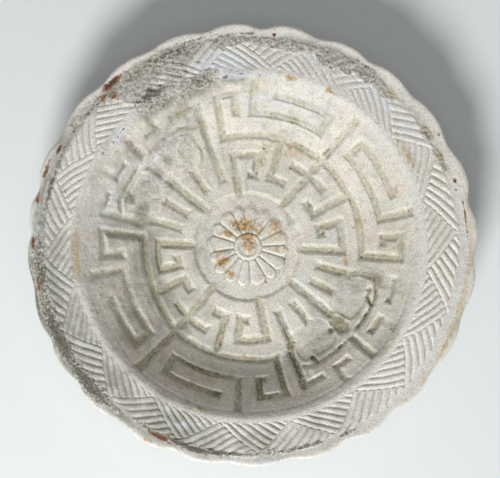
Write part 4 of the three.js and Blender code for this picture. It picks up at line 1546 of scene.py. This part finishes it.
def dish_finishes(context):
    """The two finishes of the dish, made once and shared by its pieces."""
    finish = context.scene.dish_finish
    glaze = bpy.data.materials.get("worn_ivory_glaze") or worn_ivory_glaze(finish)
    clay = bpy.data.materials.get("bare_fired_clay") or bare_fired_clay(finish)
    return [glaze, clay]


def length_prop(name, description, default):
    """Length property in metres."""
    return bpy.props.FloatProperty(
        name=name, description=description, default=default, unit="LENGTH", precision=5
    )


def colour_prop(name, description, code):
    """Colour property from an sRGB hex value."""
    return bpy.props.FloatVectorProperty(
        name=name, description=description, default=srgb(code), subtype="COLOR", size=4, min=0.0, max=1.0
    )


def count_prop(name, description, default):
    """Property that counts things."""
    return bpy.props.IntProperty(name=name, description=description, default=default, min=1)


def strength_prop(name, description, default):
    """Light strength property."""
    return bpy.props.FloatProperty(name=name, description=description, default=default, min=0.0)


class DishShape(bpy.types.PropertyGroup):
    """Sizes of the relief"""

    line_widen: length_prop("Line widening", "Added to the half width of every sunk line", 0.0)
    line_depth: length_prop("Line depth", "Depth of the sunk lines and of the centre disc", 0.00105)
    line_edge: length_prop("Line edge", "Half the width of a line's rounded edge", 0.00105)
    cheek_rise: length_prop("Cheek relief", "Height of the relief inside the mask cheeks", 0.0007)
    brow_rise: length_prop("Brow rise", "Height of the step over the mask cheeks", 0.0007)
    hand_drift: length_prop("Hand drift", "How far lines wander from their true place", 0.00025)
    hatch_depth: length_prop("Furrow depth", "Depth of the furrows on the flange", 0.00065)
    hatch_repeats: count_prop("Hatch repeats", "Pairs of hatched triangles", 16)
    standing_lines: count_prop("Standing furrows", "Furrows to a standing triangle", 7)
    hanging_lines: count_prop("Hanging furrows", "Furrows to a hanging triangle", 7)
    petal_count: count_prop("Petals", "Petals of the flower", 16)
    petal_phase: bpy.props.FloatProperty(
        name="First petal", description="Angle of the first petal", default=16.3 * DEG, subtype="ANGLE"
    )
    petal_rise: length_prop("Petal rise", "Height of a petal over the disc", 0.0009)
    lobe_swing: length_prop("Lobe swing", "How far a lobe stands out from the mean rim", 0.0008)


class DishFinish(bpy.types.PropertyGroup):
    """Colours of glaze, clay and stains"""

    glaze_pale: colour_prop("Pale glaze", "Cleaner glaze", "#E0DCD0")
    glaze_grey: colour_prop("Grey glaze", "Duller glaze", "#D1CEC0")
    glaze_pink: colour_prop("Pink glaze", "Glaze with a warm pink cast", "#DBCFC5")
    glaze_cool: colour_prop("Cool glaze", "Glaze with a cool cast", "#D3D3CE")
    glaze_rim: colour_prop("Rim glaze", "Whiter glaze of flange and lip", "#D9D7D0")
    soil_film: colour_prop("Soil film", "Thin film of soil", "#C3BCA9")
    # Also the colour of painted shade on the floor's edge, the wall, the arris and the lip
    grey_film_and_shade: colour_prop("Grey film", "Greenish grey film of soil", "#8F8E83")
    soil: colour_prop("Soil", "Soil held in the sunk lines", "#ABA587")
    # Also the colour of painted shade in lines, pits and creases
    heavy_soil_and_shade: colour_prop("Heavy soil", "Thick soil in some lines", "#7C7858")
    # Also the colour of painted highlight on the arris, the lip's crest and a groove floor
    worn_edge_and_highlight: colour_prop("Worn edge", "Rubbed edges of the relief", "#EAE6DD")
    tan_stain: colour_prop("Tan stain", "Smooth yellowish stain", "#C7B48F")
    ochre_stain: colour_prop("Ochre stain", "Iron stain, yellow to orange", "#B08C4C")
    ochre_dark: colour_prop("Dark ochre", "Darkest of the iron stain", "#8A5D2C")
    blue_glint: colour_prop("Blue glint", "Bluish decayed glaze", "#D9DEE3")
    crust_pale: colour_prop("Pale crust", "Thin gritty crust", "#C2BFB5")
    crust_dark: colour_prop("Dark crust", "Thick gritty crust", "#7B7A70")
    crust_light: colour_prop("Light crust", "Pale grains in the crust", "#DCD9D0")
    # Also the colour of painted shadow along some lines of the well
    heavy_crust_and_shade: colour_prop("Heavy crust", "Darkest and coarsest crust", "#5E5B4F")
    grit: colour_prop("Grit", "Dark grains in the crust", "#514D43")
    rust: colour_prop("Rust", "Rust-brown patches", "#86501F")
    rust_dark: colour_prop("Dark rust", "Darkest rust", "#472C18")
    speck: colour_prop("Speck", "Iron specks in the body", "#8A7350")
    clay: colour_prop("Clay", "Bare fired clay", "#C9B9A0")
    clay_dark: colour_prop("Dark clay", "Darker parts of the bare clay", "#B29C80")


class DishStage(bpy.types.PropertyGroup):
    """Floor, light and camera"""

    floor_colour: colour_prop("Floor", "Plain pale floor", "#DDE1E1")
    fill_colour: colour_prop("Fill colour", "Colour of the even light", "#F4F6F8")
    key_strength: strength_prop("Key", "Key light on a facing surface", 1.06)
    fill_strength: strength_prop("Fill", "Even light from all round", 0.2)
    overhead_strength: strength_prop("Overhead", "Soft light from above", 0.17)
    camera_reach: length_prop("Camera distance", "From the rim to the camera", 0.6)


class DISH_OT_medallion(bpy.types.Operator):
    """Sunk centre disc with its flower of petals, ring and dome"""

    bl_idname = "dish.medallion"
    bl_label = "Centre Flower"

    def execute(self, context):
        shape = context.scene.dish_shape
        columns, rows = GRIDS["centre_flower"]
        angle = round_angles(columns)
        top = relief_band(FLOWER_FIRST_RING, MEDALLION_RADIUS, rows, angle, shape, "flower")
        side = side_rows(edge_of(top, -1), ring_at(*SEAT[0], columns), 3)
        under = plain_band(SEAT, columns, 3)
        band = stack_rows(top, side, under)
        poles = (float(top[1][0].mean()), MEDALLION_SEAT)
        piece = make_piece(context, "centre_flower", angle, band, (), (len(top[0]) - 1,), poles)
        petals = [f"flower_petal_{i + 1:02d}" for i in range(shape.petal_count)]
        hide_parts("centre_medallion", "flower_ring", "flower_boss", *petals)
        return {"FINISHED"}


class DISH_OT_floor(bpy.types.Operator):
    """Floor of the well with the inner band of sunk lines, and the turned base under it"""

    bl_idname = "dish.floor"
    bl_label = "Well Floor"

    def execute(self, context):
        columns, rows = GRIDS["well_floor_relief"]
        angle = round_angles(columns)
        top = relief_band(MEDALLION_RADIUS, FLOOR_RADIUS, rows, angle, context.scene.dish_shape, "well")
        seat = plain_band(SEAT[::-1], columns, 3)
        seat_edge = ring_at(*SEAT[0], columns)
        inner = side_rows(seat_edge, edge_of(top, 0), 2)
        outer = side_rows(edge_of(top, -1), ring_at(*FLOOR_UNDERSIDE[0], columns), 3)
        under = plain_band(FLOOR_UNDERSIDE, columns, 2)
        band = stack_rows(seat, as_band(seat_edge), inner, top, outer, under)
        first = len(seat[0]) + 1 + len(inner[0])
        last = first + len(top[0]) - 1
        base = range(last + len(outer[0]) + 2, len(band[0]))
        poles = (MEDALLION_SEAT, FLOOR_UNDER_CENTRE)
        piece = make_piece(context, "well_floor_relief", angle, band, base, (first, last), poles)
        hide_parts("well_floor")
        return {"FINISHED"}


class DISH_OT_wall(bpy.types.Operator):
    """Sloping wall with the outer band of sunk lines and the mask cheeks"""

    bl_idname = "dish.wall"
    bl_label = "Sloping Wall"

    def execute(self, context):
        piece = make_relief_ring(context, "sloping_wall_relief", "well", WALL_UNDERSIDE, 3)
        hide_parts("cavetto_wall", *[f"mask_cheek_{i:02d}" for i in range(1, 5)])
        return {"FINISHED"}


class DISH_OT_flange(bpy.types.Operator):
    """Flat flange with its border of hatched triangles"""

    bl_idname = "dish.flange"
    bl_label = "Hatched Flange"

    def execute(self, context):
        piece = make_relief_ring(context, "hatched_flange", "hatch", FLANGE_UNDERSIDE, 2)
        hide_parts("rim_flange")
        return {"FINISHED"}


class DISH_OT_lip(bpy.types.Operator):
    """Raised lip in small uneven lobes"""

    bl_idname = "dish.lip"
    bl_label = "Scalloped Lip"

    def execute(self, context):
        shape = context.scene.dish_shape
        columns, rows = GRIDS["scalloped_lip_edge"]
        angle = round_angles(columns)
        section_radius, section_height, length = lip_line(rows)
        spread = angle[None, :] + np.zeros((rows, 1))
        push, lobe = lobe_push(spread, shape)
        share = np.clip((section_radius - FLANGE_RADIUS) / (LIP_RADIUS - FLANGE_RADIUS), 0, 1) ** 0.8
        radius = section_radius + share * push
        x, y = flat_place(radius, spread)
        upper = (np.arange(rows) < rows * LIP_UPPER)[:, None]
        rise, sunk = hatch_rise(radius, spread, shape)
        layers = mark_layers(spread, radius, upper * rise, sunk, length)
        layers = {key: upper * values for key, values in layers.items()}
        layers["rim"] = upper * np.ones_like(radius)
        # The lip's crest is painted lighter: worn glaze and painted highlight along the crest
        crest = bell(np.arange(rows) / rows - LIP_CREST, LIP_CREST_HALF)[:, None]
        layers["worn"] = crest + mark_field(spread, radius, WORN_AND_HIGHLIGHT_MARKS)
        rise = crusted(rise, layers["crust"], spread, radius)
        height = section_height + share * 0.22 * lobe + upper * rise
        height = height + share * (0.18 * uneven(x, y, 7.0, 91) + 0.05 * rough(x, y, 1.8, 93))
        radius[0], radius[-1] = FLANGE_RADIUS, FLANGE_RADIUS
        inner = side_rows((radius[-1], height[-1]), (radius[0], height[0]), 2)
        band = stack_rows((radius, height, layers), inner)
        piece = make_piece(context, "scalloped_lip_edge", angle, band, (), (0, rows - 1))
        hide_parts("scalloped_lip")
        return {"FINISHED"}


class DISH_OT_foot(bpy.types.Operator):
    """Turned foot ring of bare clay"""

    bl_idname = "dish.foot"
    bl_label = "Foot Ring"

    def execute(self, context):
        angle = round_angles(FOOT_COLUMNS)
        radius, height, _ = plain_band(FOOT_SECTION, FOOT_COLUMNS, FOOT_STEPS)
        x, y = flat_place(radius, angle)
        free = window(height, 0.0, FOOT_TRUE_END, FOOT_HEIGHT, FOOT_TRUE_END)
        turning = 0.05 * np.sin(height * 2 * math.pi / TURNING_PITCH)
        radius = radius + free * (0.12 * uneven(x, y, 9.0, 95) + turning)
        band = stack_rows((radius, height, {}))
        piece = make_piece(context, "turned_foot", angle, band, range(len(radius)), (0, FOOT_STEPS))
        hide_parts("foot_ring")
        return {"FINISHED"}


class DISH_OT_stage(bpy.types.Operator):
    """Pale floor, soft key light, even fill and the camera over the dish"""

    bl_idname = "dish.stage"
    bl_label = "Stage"

    def execute(self, context):
        scene = context.scene
        stage = scene.dish_stage
        corners = [(i * FLOOR_HALF, j * FLOOR_HALF, 0) for i, j in ((-1, -1), (1, -1), (1, 1), (-1, 1))]
        mesh = bpy.data.meshes.new("floor")
        mesh.from_pydata(corners, [], [(0, 1, 2, 3)])
        # Plain painted board: matt and even, so that only the dish's soft shadow shows on it
        material, tree = start_material("pale_floor")
        look = {"Base Color": stage.floor_colour, "Roughness": 0.8}
        shader = add_node(tree, "ShaderNodeBsdfPrincipled", look)
        add_node(tree, "ShaderNodeOutputMaterial", {"Surface": shader})
        mesh.materials.append(material)
        floor = bpy.data.objects.new("floor", mesh)
        scene.collection.objects.link(floor)

        for name, (towards, reach, size) in LAMPS.items():
            towards = Vector(towards).normalized()
            lamp = bpy.data.lights.new(name, "AREA")
            lamp.shape = "DISK"
            lamp.size = size
            lamp.energy = getattr(stage, f"{name}_strength") * math.pi**2 * reach**2
            holder = bpy.data.objects.new(name, lamp)
            holder.location = towards * reach
            holder.rotation_euler = (-towards).to_track_quat("-Z", "Y").to_euler()
            scene.collection.objects.link(holder)

        world = bpy.data.worlds.new("even_fill")
        world.use_nodes = True
        tree = world.node_tree
        tree.nodes.clear()
        even = {"Color": stage.fill_colour, "Strength": stage.fill_strength}
        fill = add_node(tree, "ShaderNodeBackground", even)
        add_node(tree, "ShaderNodeOutputWorld", {"Surface": fill})
        scene.world = world

        per_pixel = LIP_RADIUS / RIM_PIXELS * MM
        aim = Vector((-RIM_RIGHT * per_pixel, RIM_BELOW * per_pixel, AIM_HEIGHT))
        tilt = CAMERA_TILT * DEG
        across, along = flat_place(math.sin(tilt), CAMERA_BEARING)
        away = Vector((across, along, math.cos(tilt)))
        data = bpy.data.cameras.new("camera")
        data.sensor_fit = "HORIZONTAL"
        data.sensor_width = SENSOR_WIDTH
        data.lens = SENSOR_WIDTH / PICTURE_WIDTH * stage.camera_reach / per_pixel
        data.clip_start = 0.01
        camera = bpy.data.objects.new("camera", data)
        right = Vector((0, 1, 0)).cross(away).normalized()
        turned = Matrix((right, away.cross(right), away)).transposed()
        camera.matrix_world = Matrix.Translation(aim + away * stage.camera_reach) @ turned.to_4x4()
        scene.collection.objects.link(camera)
        scene.camera = camera
        scene.view_settings.view_transform = "Standard"
        return {"FINISHED"}


class DISH_PT_panel(bpy.types.Panel):
    """Lists the steps that build the dish, with its sizes, colours and stage"""

    bl_label = "Moulded Ceramic Dish"
    bl_idname = "DISH_PT_panel"
    bl_space_type = "VIEW_3D"
    bl_region_type = "UI"
    bl_category = "Dish"

    def draw(self, context):
        for step in STEPS:
            self.layout.operator(step.bl_idname)
        for group in (context.scene.dish_shape, context.scene.dish_finish, context.scene.dish_stage):
            for key in group.__annotations__:
                self.layout.prop(group, key)


STEPS = (
    DISH_OT_medallion,
    DISH_OT_floor,
    DISH_OT_wall,
    DISH_OT_flange,
    DISH_OT_lip,
    DISH_OT_foot,
    DISH_OT_stage,
)
CLASSES = (DishShape, DishFinish, DishStage) + STEPS + (DISH_PT_panel,)


def register():
    """Makes the classes known to Blender and hangs the settings on the scene."""
    for item in CLASSES:
        bpy.utils.register_class(item)
    bpy.types.Scene.dish_shape = bpy.props.PointerProperty(type=DishShape)
    bpy.types.Scene.dish_finish = bpy.props.PointerProperty(type=DishFinish)
    bpy.types.Scene.dish_stage = bpy.props.PointerProperty(type=DishStage)


def unregister():
    """Takes the settings and the classes away again."""
    del bpy.types.Scene.dish_stage
    del bpy.types.Scene.dish_finish
    del bpy.types.Scene.dish_shape
    for item in reversed(CLASSES):
        bpy.utils.unregister_class(item)


def main():
    """Registers the add-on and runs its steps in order."""
    register()
    for step in STEPS:
        group, name = step.bl_idname.split(".")
        getattr(getattr(bpy.ops, group), name)()


if __name__ == "__main__":
    main()
